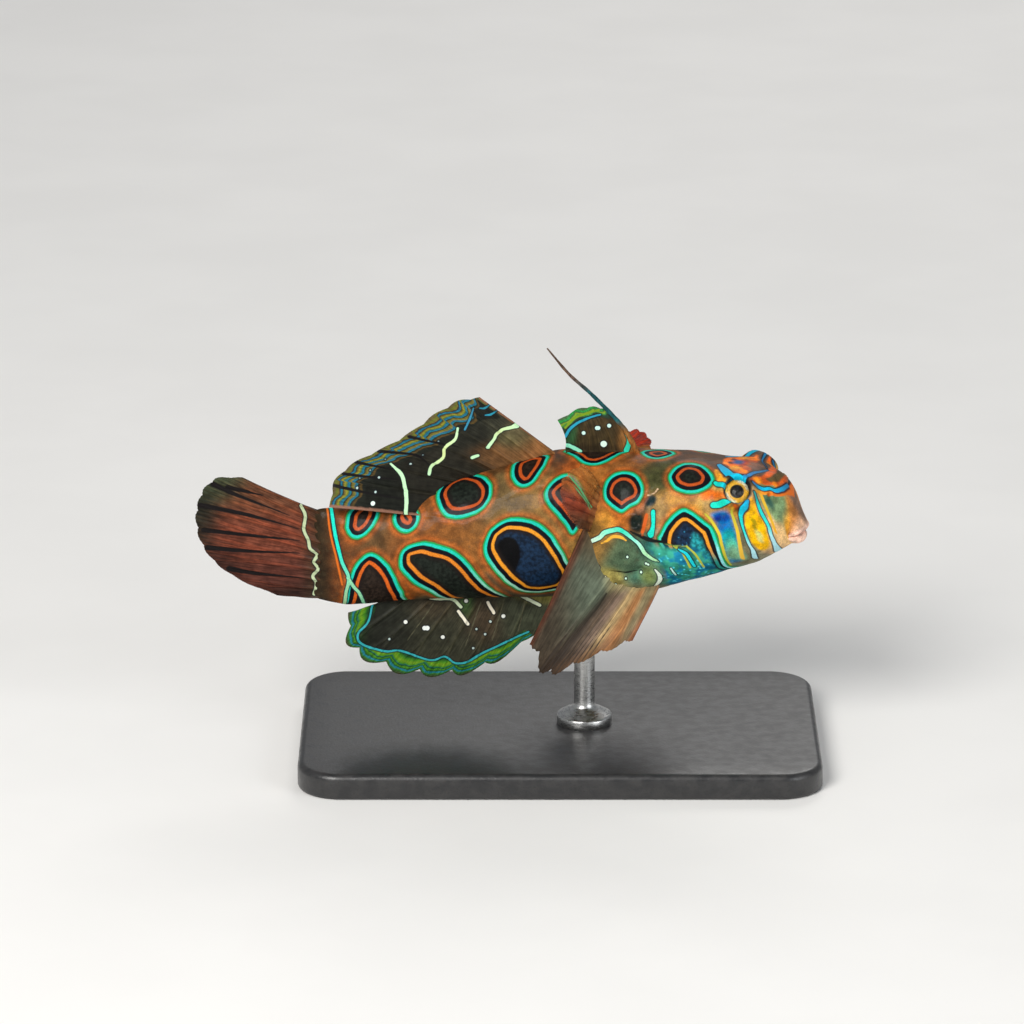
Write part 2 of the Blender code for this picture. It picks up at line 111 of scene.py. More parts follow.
# %% The body's sizes in millimetres, the same as in the solid model
BACK = ((-27.2, 29.6), (-24.0, 29.6), (-18.4, 30.4), (-12.6, 32.3), (-6.9, 34.1), (0.0, 35.8), (8.0, 36.0),
        (18.0, 36.0), (21.4, 35.7), (23.6, 35.2), (25.0, 34.7), (25.9, 33.7), (26.8, 32.0), (27.5, 30.5))
BELLY = ((-27.2, 18.5), (-24.5, 17.9), (-20.0, 18.2), (-12.6, 18.4), (-2.3, 18.7), (4.6, 19.0),
         (11.5, 20.4), (18.4, 22.9), (23.6, 24.85), (25.4, 26.0), (26.8, 27.2), (27.5, 27.9))
HALF_WIDTH = ((-27.2, 1.3), (-24.2, 2.5), (-18.4, 3.8), (-6.9, 5.9), (1.2, 6.8), (11.5, 7.4), (18.4, 6.6),
              (23.6, 5.0), (25.4, 3.9), (26.8, 2.6), (27.5, 1.5))
SQUARENESS = ((-27.2, 2.0), (0.0, 2.15), (18.0, 2.4), (27.5, 2.1))
NECK_X, HEAD_TURN = 8.0, 0.31
LOIN_X, TAIL_TURN = -13.0, 0.12
STALK_END, SNOUT_END = -27.2, 27.5
EYE_X, EYE_ANGLE, EYE_RADIUS, EYE_PROUD = 21.65, math.radians(52.5), 1.5, 0.25
MOUTH_X, MOUTH_HEIGHT, LIP_REACH, LIP_HALF_WIDTH, LIP_RADIUS = 26.4, 28.35, 1.3, 1.9, 0.6
SWELLINGS = {
    "eye mound": (EYE_X, EYE_ANGLE, 2.2, 1.2),
    "cheek": (15.5, math.radians(112), 4.5, 0.5),
    "breast fin root": (4.2, math.radians(66), 2.4, 0.5),
    "pelvic fin root": (7.5, math.radians(128), 4.0, 0.6),
}
HEAD_BEND, TAIL_BEND = 2.6, 2.0


def axis_y(x):
    """Straight in the middle. Each turn aside is a slope times a bend's length times the logarithm of one
    plus e to the power of the distance beyond the neck or the loin, counted in that length.
    """
    head = HEAD_BEND * np.log1p(np.exp((x - NECK_X) / HEAD_BEND))
    tail = TAIL_BEND * np.log1p(np.exp((LOIN_X - x) / TAIL_BEND))
    return -HEAD_TURN * head - TAIL_TURN * tail


def axis_frame(x):
    """The middle of the section at x, and the level directions to its right and forward."""
    x = np.asarray(x, float)
    middle = np.stack([x, axis_y(x), (through(BACK, x) + through(BELLY, x)) / 2], -1)
    slope = (axis_y(x + 0.01) - axis_y(x - 0.01)) / 0.02
    forward = unit(np.stack([np.ones_like(x), slope, np.zeros_like(x)], -1))
    return middle, np.cross(forward, (0.0, 0.0, 1.0)), forward


def plain_body(x, angle):
    """Side = half width by sine, rise = half height by cosine, each raised to two over the squareness."""
    x, angle = np.broadcast_arrays(np.asarray(x, float), angle)
    middle, right, _ = axis_frame(x)
    width, height = through(HALF_WIDTH, x), (through(BACK, x) - through(BELLY, x)) / 2
    power = 2 / through(SQUARENESS, x)
    side = width * np.sign(np.sin(angle)) * np.abs(np.sin(angle)) ** power
    rise = height * np.sign(np.cos(angle)) * np.abs(np.cos(angle)) ** power
    up = np.array((0.0, 0.0, 1.0))
    points = middle + right * side[..., None] + up * rise[..., None]
    return points, unit(right * (side / width**2)[..., None] + up * (rise / height**2)[..., None])


def body_points(x, angle):
    """The plain section pushed out by a bell curve round each swelling, alike on both sides."""
    points, outward = plain_body(x, angle)
    lift = np.zeros(points.shape[:-1])
    for place, turn, reach, height in SWELLINGS.values():
        for side in (-1, 1):
            centre, _ = plain_body(place, side * turn)
            lift += height * np.exp(-((np.linalg.norm(points - centre, axis=-1) / reach) ** 2))
    return points + outward * lift[..., None]


def body_place(x, angle):
    """One point of the body's surface, and the way out of it: square to two short steps on the skin."""
    point = body_points(x, angle)
    out = unit(np.cross(body_points(x + 0.05, angle) - point, body_points(x, angle + 0.01) - point))
    return point, out if np.dot(out, point - axis_frame(x)[0]) > 0 else -out


def eye_place(side):
    """The middle of an eyeball, which stands a little proud of the skin, and the direction of its gaze."""
    point, out = body_place(EYE_X, side * EYE_ANGLE)
    return point - out * (EYE_RADIUS - EYE_PROUD), out


print("right eye, millimetres:", eye_place(1)[0].round(2))

# %% [markdown]
# ## From a grid of points to a piece
# A surface with two parameters is a grid of points, and four neighbours make one face. The same short
# helper then serves the skin, the fins, the eyes and the stand. Points are kept in millimetres and scaled
# once. A closed surface that came out inside out would enclose a negative volume, so that is tested and
# mended.

# %% Grid faces, and a mesh that rides on the model


def grid_faces(rows, columns, closed=False, start=0):
    """Each face joins a point, its neighbour in the row, and the same two in the next row."""
    r = np.arange(rows - 1)[:, None]
    c = np.arange(columns if closed else columns - 1)[None, :]
    after = (c + 1) % columns
    corners = (r * columns + c, r * columns + after, (r + 1) * columns + after, (r + 1) * columns + c)
    return np.stack(corners, -1).reshape(-1, 4) + start


def fan(ring, pole):
    """Three-sided faces that close a ring of points onto one point."""
    return np.stack([ring, np.roll(ring, -1), np.full(len(ring), pole)], -1)


def capped_faces(rows, around):
    """A closed grid with both ends closed onto poles, which are numbered after the grid's own points."""
    count = rows * around
    first, last = np.arange(around)[::-1], np.arange(count - around, count)
    return [grid_faces(rows, around, True), fan(first, count), fan(last, count + 1)]


def enclosed(points, faces):
    """The volume inside closed faces: a sixth of each corner's product with the two after it, added up."""
    threes = np.concatenate([
        f if f.shape[1] == 3 else np.concatenate([f[:, :3], f[:, [0, 2, 3]]]) for f in faces
    ])
    a, b, c = points[threes].transpose(1, 0, 2)
    return np.einsum("ij,ij->", a, np.cross(b, c)) / 6


def make_piece(name, points, faces, look, replaced=(), paint=None):
    """A smooth mesh in metres that faces outward, with its paint kept on its points."""
    if enclosed(points, faces) < 0:
        faces = [f[:, ::-1] for f in faces]
    mesh = bpy.data.meshes.new(name)
    mesh.from_pydata((points * MM).tolist(), [], [face for group in faces for face in group.tolist()])
    mesh.polygons.foreach_set("use_smooth", np.ones(len(mesh.polygons), bool))
    for label, values in (paint or {}).items():
        if values.ndim == 1:
            layer = mesh.attributes.new(label, "FLOAT", "POINT")
            layer.data.foreach_set("value", values.astype(np.float32))
        else:
            full = np.column_stack([values, np.ones(len(values))]).astype(np.float32)
            layer = mesh.attributes.new(label, "FLOAT_COLOR", "POINT")
            layer.data.foreach_set("color", full.ravel())
    mesh.materials.append(look)
    mesh.update()
    piece = bpy.data.objects.new(name, mesh)
    bpy.context.scene.collection.objects.link(piece)
    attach(piece, "root")
    if replaced:
        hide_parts(*replaced)
    mesh.calc_loop_triangles()
    print(f"{name}: {len(mesh.loop_triangles)} triangles, {enclosed(points, faces):.1f} cubic mm")


# %% [markdown]
# ## Paint as distances
# The fish's pattern is made of rings and lines of even width with sharp edges. An image would hold it,
# but would blur close up. Instead each point of a surface keeps its distance to the nearest mark, in
# millimetres, and the material turns distances into bands: a third of a millimetre of turquoise, then
# black, then a line of fire. Distances change evenly from point to point, so the bands stay crisp however
# close the camera comes.

# %% Measure and lay marks
FAR_AWAY, NO_MARK = 99.0, -9.0


def measure(places, line, closed=False, reach=3.0):
    """Distance of each place to the nearest straight step of a line, how far along it, and if it is inside.

    A place is inside a closed line if a ray from it crosses the line an odd number of times. Places farther
    away than the reach are not measured, and keep a large distance.
    """
    distance, share = np.full(len(places), FAR_AWAY), np.zeros(len(places))
    inside = np.zeros(len(places), bool)
    near = np.all((places > line.min(0) - reach) & (places < line.max(0) + reach), axis=1)
    spot = places[near]
    best, where, odd = np.full(len(spot), FAR_AWAY), np.zeros(len(spot)), np.zeros(len(spot), bool)
    ends = np.roll(line, -1, axis=0) if closed else line[1:]
    for i, (a, b) in enumerate(zip(line, ends)):
        run = b - a
        t = np.clip((spot - a) @ run / max(run @ run, 1e-9), 0, 1)
        d = np.hypot(*(spot - a - t[:, None] * run).T)
        closer = d < best
        best[closer], where[closer] = d[closer], (i + t[closer]) / len(ends)
        if closed and a[1] != b[1]:
            crosses = (spot[:, 1] > a[1]) != (spot[:, 1] > b[1])
            odd ^= crosses & (spot[:, 0] < a[0] + run[0] * (spot[:, 1] - a[1]) / run[1])
    distance[near], share[near], inside[near] = best, where, odd
    return distance, share, inside


def depth_inside(places, outline, steps=7):
    """Distance to a closed outline, counted above nought inside it and below nought outside."""
    distance, _, inside = measure(places, closed_line(outline, steps), True)
    return np.where(inside, distance, -distance)


def blend_patches(places, patches):
    """The mean of the patches' colours, each weighted by a bell curve round its middle."""
    total, colour = np.full(len(places), 1e-6), np.zeros((len(places), 3))
    for middle, reach, tint in patches:
        weight = np.exp(-(((places - middle) / reach) ** 2).sum(1)) + 1e-9
        total += weight
        colour += weight[:, None] * tint
    return colour / total[:, None]


def fresh_paint(places, patches, layers):
    """A ground colour and, for each layer of marks, a depth far below zero and a colour."""
    paint = {"ground": blend_patches(places, patches)}
    for layer in layers:
        paint[layer] = np.full(len(places), NO_MARK)
        paint[layer + "_tint"] = np.zeros((len(places), 3))
    return paint


def tint_toward(colours, share, tint):
    """Each colour moves toward the tint by its share of the difference."""
    colours += share[:, None] * (np.array(tint) - colours)


def keep_deeper(paint, layer, depth, tint):
    """Where a new mark is deeper than what the layer holds, the layer takes its depth and its colour."""
    deeper = depth > paint[layer]
    paint[layer] = np.maximum(paint[layer], depth)
    paint[layer + "_tint"][deeper] = tint if np.ndim(tint) == 1 else tint[deeper]


def lay_line(paint, places, layer, knots, half_width, tint):
    """Depth in a line = its half width there less the distance to its middle. Its colour may change too."""
    distance, share, _ = measure(places, open_line(knots))
    width = np.interp(share, np.linspace(0, 1, np.size(half_width)), np.atleast_1d(half_width))
    tints = np.atleast_2d(tint)
    tints = np.stack([np.interp(share, np.linspace(0, 1, len(tints)), column) for column in tints.T], 1)
    keep_deeper(paint, layer, width - distance, tints)


def lay_dots(paint, places, layer, dots, radius, tint):
    """Depth in a dot = its radius less the distance to its middle."""
    for dot in dots:
        keep_deeper(paint, layer, radius - np.hypot(*(places - dot).T), np.array(tint))


def lay_field(paint, places, label, outline, tint, soft=0.25):
    """Inside a closed outline the colour changes to the tint, over a soft edge."""
    share = smooth_step(depth_inside(places, outline, 4), -soft, soft)[:, None]
    paint[label] = paint[label] * (1 - share) + np.array(tint) * share


print("marks are measured in millimetres on the skin")

# %% [markdown]
# ## One skin from tail to lips
# On the fish the head, the trunk and the tail stalk share one skin, so here they are one grid. Its rows
# are cross-sections, closer together on the head, where the marks are finest. In front of the last
# section the rows swing over into the lips: each row is a ring that first bridges to the lips' outer
# edge, then rolls over them and goes into the mouth. So the mouth needs no seam. Behind, the rows shrink
# into the root of the tail fin.

# %% Rows of the body and of the tapered tail end
AROUND, TAIL_SINK = 216, 1.5
turn = np.linspace(0, 2 * math.pi, AROUND, endpoint=False)
ANGLE = np.arctan2(np.sign(np.sin(turn)) * np.abs(np.sin(turn)) ** 1.14,
                   np.sign(np.cos(turn)) * np.abs(np.cos(turn)) ** 1.14)
BRIDGE_X, BRIDGE_STEPS, LIP_STEPS = 26.2, 15, 20
body_x = np.concatenate([np.linspace(STALK_END, NECK_X, 232), np.linspace(NECK_X, BRIDGE_X, 182)[1:]])
body_rows = body_points(body_x[:, None], ANGLE[None, :])

shrink = np.linspace(0, 1, 8)[:-1]
tail_middle, tail_right, _ = axis_frame(STALK_END)
tail_ring = body_rows[0] - tail_middle
tail_side = tail_ring @ tail_right
tail_rows = []
for t in shrink:
    centre = tail_middle + (-TAIL_SINK * (1 - t), 0.1 * (1 - t), 0)
    aside = tail_side * (0.2 + 0.8 * math.sin(t * 1.45))
    rise = tail_ring[:, 2] * (0.9 + 0.1 * math.sin(t * 1.45))
    tail_rows.append(centre + tail_right * aside[:, None] + np.array((0, 0, 1.0)) * rise[:, None])
tail_rows = np.stack(tail_rows)
print("body rows", body_rows.shape, "tail rows", tail_rows.shape)

# %% The snout's bridge, the lips and the inside of the mouth


def lip_ring(roll, deeper=0.0, narrow=1.0):
    """The ring of points at one angle of roll round the lips.

    The lips' middle line is a half ellipse to the front, split into an upper and a lower one that meet at
    the corners, where the lips are thinnest. A point stands at one lip radius from that line: roll 0 is the
    outer edge, a quarter turn the front, and a half turn the slit. `deeper` moves it back into the mouth.
    """
    front, side = np.abs(np.cos(ANGLE)), np.sin(ANGLE)
    level, right, forward = axis_frame(MOUTH_X)
    middle = np.array((level[0], level[1], MOUTH_HEIGHT))
    above = np.sign(np.cos(ANGLE)) * front**0.45
    radius = np.where(above > 0, LIP_RADIUS, LIP_RADIUS + 0.05) * (0.42 + 0.58 * front**0.7)
    reach = np.where(above > 0, LIP_REACH, LIP_REACH - 0.25)
    out = unit(np.outer(front / LIP_REACH, forward) + np.outer(side / LIP_HALF_WIDTH, right))
    line = middle + np.outer(reach * front - deeper, forward)
    line = line + np.outer(LIP_HALF_WIDTH * narrow * side, right)
    height = above * (0.05 + radius * (1 + np.cos(roll))) - 0.2 * side**2
    return line + out * (radius * np.sin(roll) * narrow)[:, None] + np.outer(height, (0, 0, 1.0))


first_roll = np.radians(5 + 50 * np.clip(np.cos(ANGLE), 0, 1) ** 0.7)
lip_rolls = [first_roll + (math.radians(178) - first_roll) * t for t in np.linspace(0, 1, LIP_STEPS)]
lip_rows = np.stack([lip_ring(roll) for roll in lip_rolls])
start_run = (body_points(BRIDGE_X, ANGLE) - body_points(BRIDGE_X - 0.1, ANGLE)) / 0.1
end_run = (lip_ring(first_roll + 0.05) - lip_rows[0]) / (0.05 * LIP_RADIUS)
span = np.linalg.norm(lip_rows[0] - body_rows[-1], axis=1)[:, None]
bridge_rows = []
for t in np.linspace(0, 1, BRIDGE_STEPS)[1:-1]:
    joined = (2 * t**3 - 3 * t**2 + 1) * body_rows[-1] + (3 * t**2 - 2 * t**3) * lip_rows[0]
    joined += (t**3 - 2 * t**2 + t) * span * unit(start_run) + (t**3 - t**2) * span * unit(end_run) * 0.4
    bridge_rows.append(joined)
mouth_rows = np.stack([lip_ring(math.pi, 0.3, 0.95), lip_ring(math.pi, 0.8, 0.8),
                       lip_ring(math.pi, 1.2, 0.5)])
front_rows = np.concatenate([np.stack(bridge_rows), lip_rows, mouth_rows])

skin_rows = np.concatenate([tail_rows, body_rows, front_rows])
ROWS = len(skin_rows)
STATION = np.concatenate([
    STALK_END - TAIL_SINK * (1 - shrink), body_x, np.linspace(BRIDGE_X, SNOUT_END, BRIDGE_STEPS)[1:-1],
    np.linspace(SNOUT_END, 29.5, LIP_STEPS), (29.8, 30.2, 30.6),
])
print("skin rows", ROWS, "stations", len(STATION))

# %% [markdown]
# ## Skin coordinates
# Marks are laid out as a tailor would: one measure runs from tail to snout, and the other is the girth,
# from the middle of the back down each side. Both are in millimetres, so a ring on the flank keeps its
# shape. The far side has the same marks, drifted a little, because the two sides of a real fish are never
# quite alike.

# %% Station and girth of every point
step_right = np.linalg.norm(np.diff(skin_rows, axis=1, append=skin_rows[:, :1]), axis=-1)
half = AROUND // 2
girth = np.zeros((ROWS, AROUND))
girth[:, 1:half + 1] = np.cumsum(step_right[:, :half], axis=1)
girth[:, half + 1:] = np.cumsum(step_right[:, :half - 1:-1], axis=1)[:, ::-1][:, 1:]
far = np.zeros((ROWS, AROUND))
far[:, half + 1:] = 1
station = np.repeat(STATION[:, None], AROUND, 1)
loose = far * (1 - np.exp(-girth / 4)) * smooth_step(-station, -19, -10)
drift_station = station + loose * (0.45 * np.sin(0.42 * station + 1.1) + 0.3)
drift_girth = girth + loose * 0.5 * np.sin(0.33 * station + 0.4)
skin_places = np.stack([drift_station.ravel(), drift_girth.ravel()], 1)
print("largest half girth", girth.max().round(1))

# %% [markdown]
# ## Relief in the skin
# Lids, nostrils, the gill opening and folds are soft, so they are modelled by moving the same grid
# instead of by adding pieces. Round each eye the skin is set to a profile measured from the eyeball's
# middle: it rises into a rounded lid and then dives under the ball, so the ball sits in a true socket.
# Each fold is a bell curve across a line on the skin: a groove where its height is below nought, and a
# ridge where it is above.

# %% Lids, sockets, nostrils, gill openings and folds
LID_PROFILE = ((0.0, 0.1), (1.15, 0.2), (1.36, 0.5), (1.45, 0.95), (1.56, 1.24), (1.74, 1.38), (2.05, 1.36),
               (2.6, 1.2))
NOSTRIL, GILL_PORE = (24.7, math.radians(50)), (9.8, math.radians(79))
FOLDS = {
    "gill cover": (((12.7, 6.6), (11.4, 7.9), (10.7, 9.6), (10.9, 11.4), (12.6, 12.8), (15.0, 13.6)), 0.35,
                   -0.2),
    "pelvic pad": (((6.4, 16.6), (8.6, 16.9), (10.9, 16.3)), 0.4, -0.3),
    "gill ridge": (((12.2, 6.1), (12.7, 6.9), (12.4, 7.7)), 0.3, 0.22),
    "side line": (((-15.7, 3.9), (-11.0, 6.2), (-7.8, 6.0), (-5.0, 5.2), (-1.8, 5.4)), 0.18, -0.06),
    "mouth corner": (((26.0, 6.6), (26.6, 7.2), (27.1, 7.4)), 0.3, -0.12),
}


def ring_normals(rows):
    """Directions out of a closed grid, square to its steps along and round it."""
    round_it = np.roll(rows, -1, axis=1) - np.roll(rows, 1, axis=1)
    out = np.cross(np.gradient(rows, axis=0), round_it)
    out /= np.maximum(np.linalg.norm(out, axis=-1, keepdims=True), 1e-9)
    return out * np.sign(((rows - rows.mean(axis=1, keepdims=True)) * out).sum((1, 2)))[:, None, None]


normals = ring_normals(skin_rows)
lift = 0.05 * np.sin(0.9 * station + 1) * np.sin(0.55 * girth)
lift += 0.03 * np.sin(2.1 * station) * np.sin(1.7 * girth + 1)
for knots, width, height in FOLDS.values():
    distance, _, _ = measure(skin_places, open_line(knots))
    lift += height * np.exp(-((distance.reshape(lift.shape) / width) ** 2))
from_eye = np.full(lift.shape, FAR_AWAY)
for side in (-1, 1):
    nostril, _ = body_place(NOSTRIL[0], side * NOSTRIL[1])
    away = np.linalg.norm(skin_rows - nostril, axis=-1)
    lift += 0.2 * np.exp(-(((away - 0.4) / 0.15) ** 2)) - 0.45 * np.exp(-((away / 0.22) ** 2))
    pore, _ = body_place(GILL_PORE[0], side * GILL_PORE[1])
    away = np.linalg.norm((skin_rows - pore) / (1.0, 1.0, 0.75), axis=-1)
    lift += -0.5 * np.exp(-((away / 0.5) ** 2)) + 0.1 * np.exp(-(((away - 0.95) / 0.25) ** 2))
skin_points = skin_rows + normals * lift[..., None]
for side in (-1, 1):
    centre, out = eye_place(side)
    height = (skin_points - centre) @ out
    radius = np.linalg.norm(skin_points - centre - height[..., None] * out, axis=-1)
    near = height > 0
    wanted = through(LID_PROFILE, np.where(near, radius, 2.6))
    share = (1 - smooth_step(radius, 1.75, 2.6)) * near
    skin_points = skin_points + out * ((wanted - height) * share)[..., None]
    from_eye = np.where(near, np.minimum(from_eye, radius), from_eye)
print("relief from", lift.min().round(2), "to", lift.max().round(2))

# %% [markdown]
# ## The rings
# Each ring is given by its outer edge in skin coordinates, by the colour of its inner line and by its
# heart. High rings are small, with an orange-red line, and the large ones have a golden line, two of them
# round a dark blue heart. Two rings have a line of another shape than their edge, so that is given too.
# The turquoise of every ring pales toward the belly, and the front leg of the cheek's ring thins out
# there.

# %% Outlines of the rings
RED_FIRE, GOLD_FIRE, PALE_FIRE = (0.46, 0.075, 0.012), (0.74, 0.28, 0.02), (0.66, 0.20, 0.018)
DARK_HEART, BROWN_HEART, NAVY_HEART = (0.008, 0.011, 0.008), (0.016, 0.010, 0.007), (0.005, 0.016, 0.038)
RINGS = {
    "under the second fin": (RED_FIRE, DARK_HEART, (
        (-14.3, 2.2), (-13.6, 0.5), (-12.3, -0.4), (-10.6, -0.4), (-9.3, 0.7), (-8.3, 2.1), (-7.8, 3.6),
        (-8.1, 5.0), (-9.1, 5.9), (-10.6, 6.0), (-12.3, 5.6), (-13.6, 4.6))),
    "saddle": (RED_FIRE, BROWN_HEART, (
        (-5.6, 2.2), (-5.2, 0.3), (-3.8, -0.5), (-2.4, -0.4), (-1.3, 0.5), (-1.5, 1.9), (-2.2, 3.4),
        (-3.2, 4.6), (-4.4, 4.7), (-5.3, 3.7))),
    "behind the breast fin": (RED_FIRE, BROWN_HEART, (
        (0.9, 4.4), (-0.6, 4.8), (-1.7, 6.0), (-1.5, 7.4), (-0.4, 8.9), (0.7, 10.4), (1.6, 11.6),
        (2.8, 10.2), (3.6, 8.7), (2.9, 6.8), (2.0, 5.1))),
    "shoulder": (RED_FIRE, DARK_HEART, (
        (5.4, 6.9), (5.8, 5.5), (6.9, 4.6), (8.3, 4.4), (9.7, 5.0), (10.6, 6.2), (10.8, 7.3), (10.3, 8.3),
        (9.2, 8.8), (8.0, 9.4), (6.7, 8.8), (5.7, 8.0))),
    "temple": (RED_FIRE, DARK_HEART, (
        (13.6, 5.2), (13.7, 4.0), (14.4, 2.9), (15.6, 2.2), (16.9, 2.5), (18.1, 3.5), (18.7, 4.7),
        (18.2, 5.8), (17.2, 6.5), (15.9, 6.8), (14.5, 6.4))),
    "flank": (GOLD_FIRE, NAVY_HEART, (
        (-8.8, 10.4), (-8.3, 8.9), (-7.4, 8.2), (-6.0, 7.9), (-4.3, 8.4), (-2.7, 9.3), (-1.3, 10.7),
        (-0.3, 12.2), (0.8, 14.4), (1.6, 16.8), (0.0, 19.2), (-3.6, 18.9), (-5.6, 16.8), (-7.2, 14.2),
        (-8.3, 12.2))),
    "rear flank": (PALE_FIRE, DARK_HEART, (
        (-18.8, 8.6), (-18.6, 7.0), (-17.6, 6.5), (-15.9, 6.8), (-14.1, 8.0), (-12.3, 9.4), (-10.8, 11.3),
        (-9.7, 13.3), (-8.3, 15.8), (-6.6, 18.6), (-6.0, 21.5), (-9.5, 23.0), (-12.4, 18.5), (-15.0, 14.1),
        (-16.8, 11.9), (-18.0, 10.1))),
    "tail, low": ((0.60, 0.11, 0.012), BROWN_HEART, (
        (-24.7, 10.9), (-24.3, 8.5), (-23.5, 6.9), (-22.1, 6.1), (-20.6, 7.3), (-19.6, 9.0), (-18.9, 11.0),
        (-18.2, 13.2), (-18.0, 17.0), (-24.6, 17.0))),
    "tail, high": (RED_FIRE, BROWN_HEART, (
        (-24.7, 2.1), (-24.2, 0.7), (-22.8, -0.3), (-21.5, -0.2), (-20.8, 1.4), (-21.6, 3.1), (-23.0, 4.1),
        (-24.1, 3.9), (-24.7, 3.0))),
    "tail, middle": (RED_FIRE, BROWN_HEART, (
        (-19.4, 2.8), (-18.8, 1.7), (-17.7, 1.4), (-16.8, 2.4), (-16.4, 3.7), (-16.9, 4.7), (-18.0, 4.9),
        (-19.0, 4.1))),
    "under the sail": (RED_FIRE, BROWN_HEART, (
        (0.3, -1.5), (7.5, -1.5), (7.5, 0.2), (7.0, 0.9), (5.7, 2.6), (4.1, 3.3), (2.6, 2.9), (1.6, 1.6),
        (0.6, 0.3))),
    "nape": (RED_FIRE, BROWN_HEART, (
        (9.3, -1.5), (13.2, -1.5), (13.0, 0.4), (12.2, 1.4), (11.2, 1.8), (10.2, 1.4), (9.4, 0.4))),
    "cheek": (GOLD_FIRE, NAVY_HEART, (
        (13.1, 12.6), (13.3, 11.8), (13.95, 10.5), (14.75, 9.45), (15.4, 8.85), (16.0, 8.6), (16.65, 8.75),
        (17.4, 9.1), (18.3, 9.7), (19.05, 10.3), (19.5, 11.4), (19.85, 12.8), (20.1, 14.4), (20.3, 16.0),
        (20.8, 18.5), (15.0, 19.5), (14.2, 15.0))),
}
FIRE_LINES = {
    "temple": ((14.35, 5.25), (14.35, 4.3), (14.85, 3.6), (15.55, 3.2), (16.45, 3.25), (17.2, 3.8),
               (17.6, 4.5), (17.5, 5.3), (16.95, 6.0), (16.2, 6.25), (15.4, 6.2), (14.7, 5.8)),
    "cheek": ((14.2, 12.9), (14.3, 11.95), (14.5, 11.0), (14.9, 10.35), (15.4, 9.85), (16.0, 9.6),
              (16.6, 9.6), (17.2, 9.85), (17.8, 10.4), (18.4, 10.8), (18.8, 11.3), (19.1, 12.2),
              (19.3, 13.3), (19.5, 14.6), (19.65, 16.1), (19.8, 18.5), (15.0, 19.5), (14.4, 15.0)),
}
print(len(RINGS), "rings on each side,", len(FIRE_LINES), "with a fire line of its own shape")

# %% [markdown]
# ## Lines and fields of the face
# The face is mapped like a country: fields of orange, yellow and blue, and rivers of turquoise with dark
# banks that run out from the eye. The banks come from the material, so a line is only a row of knots and
# a half width.

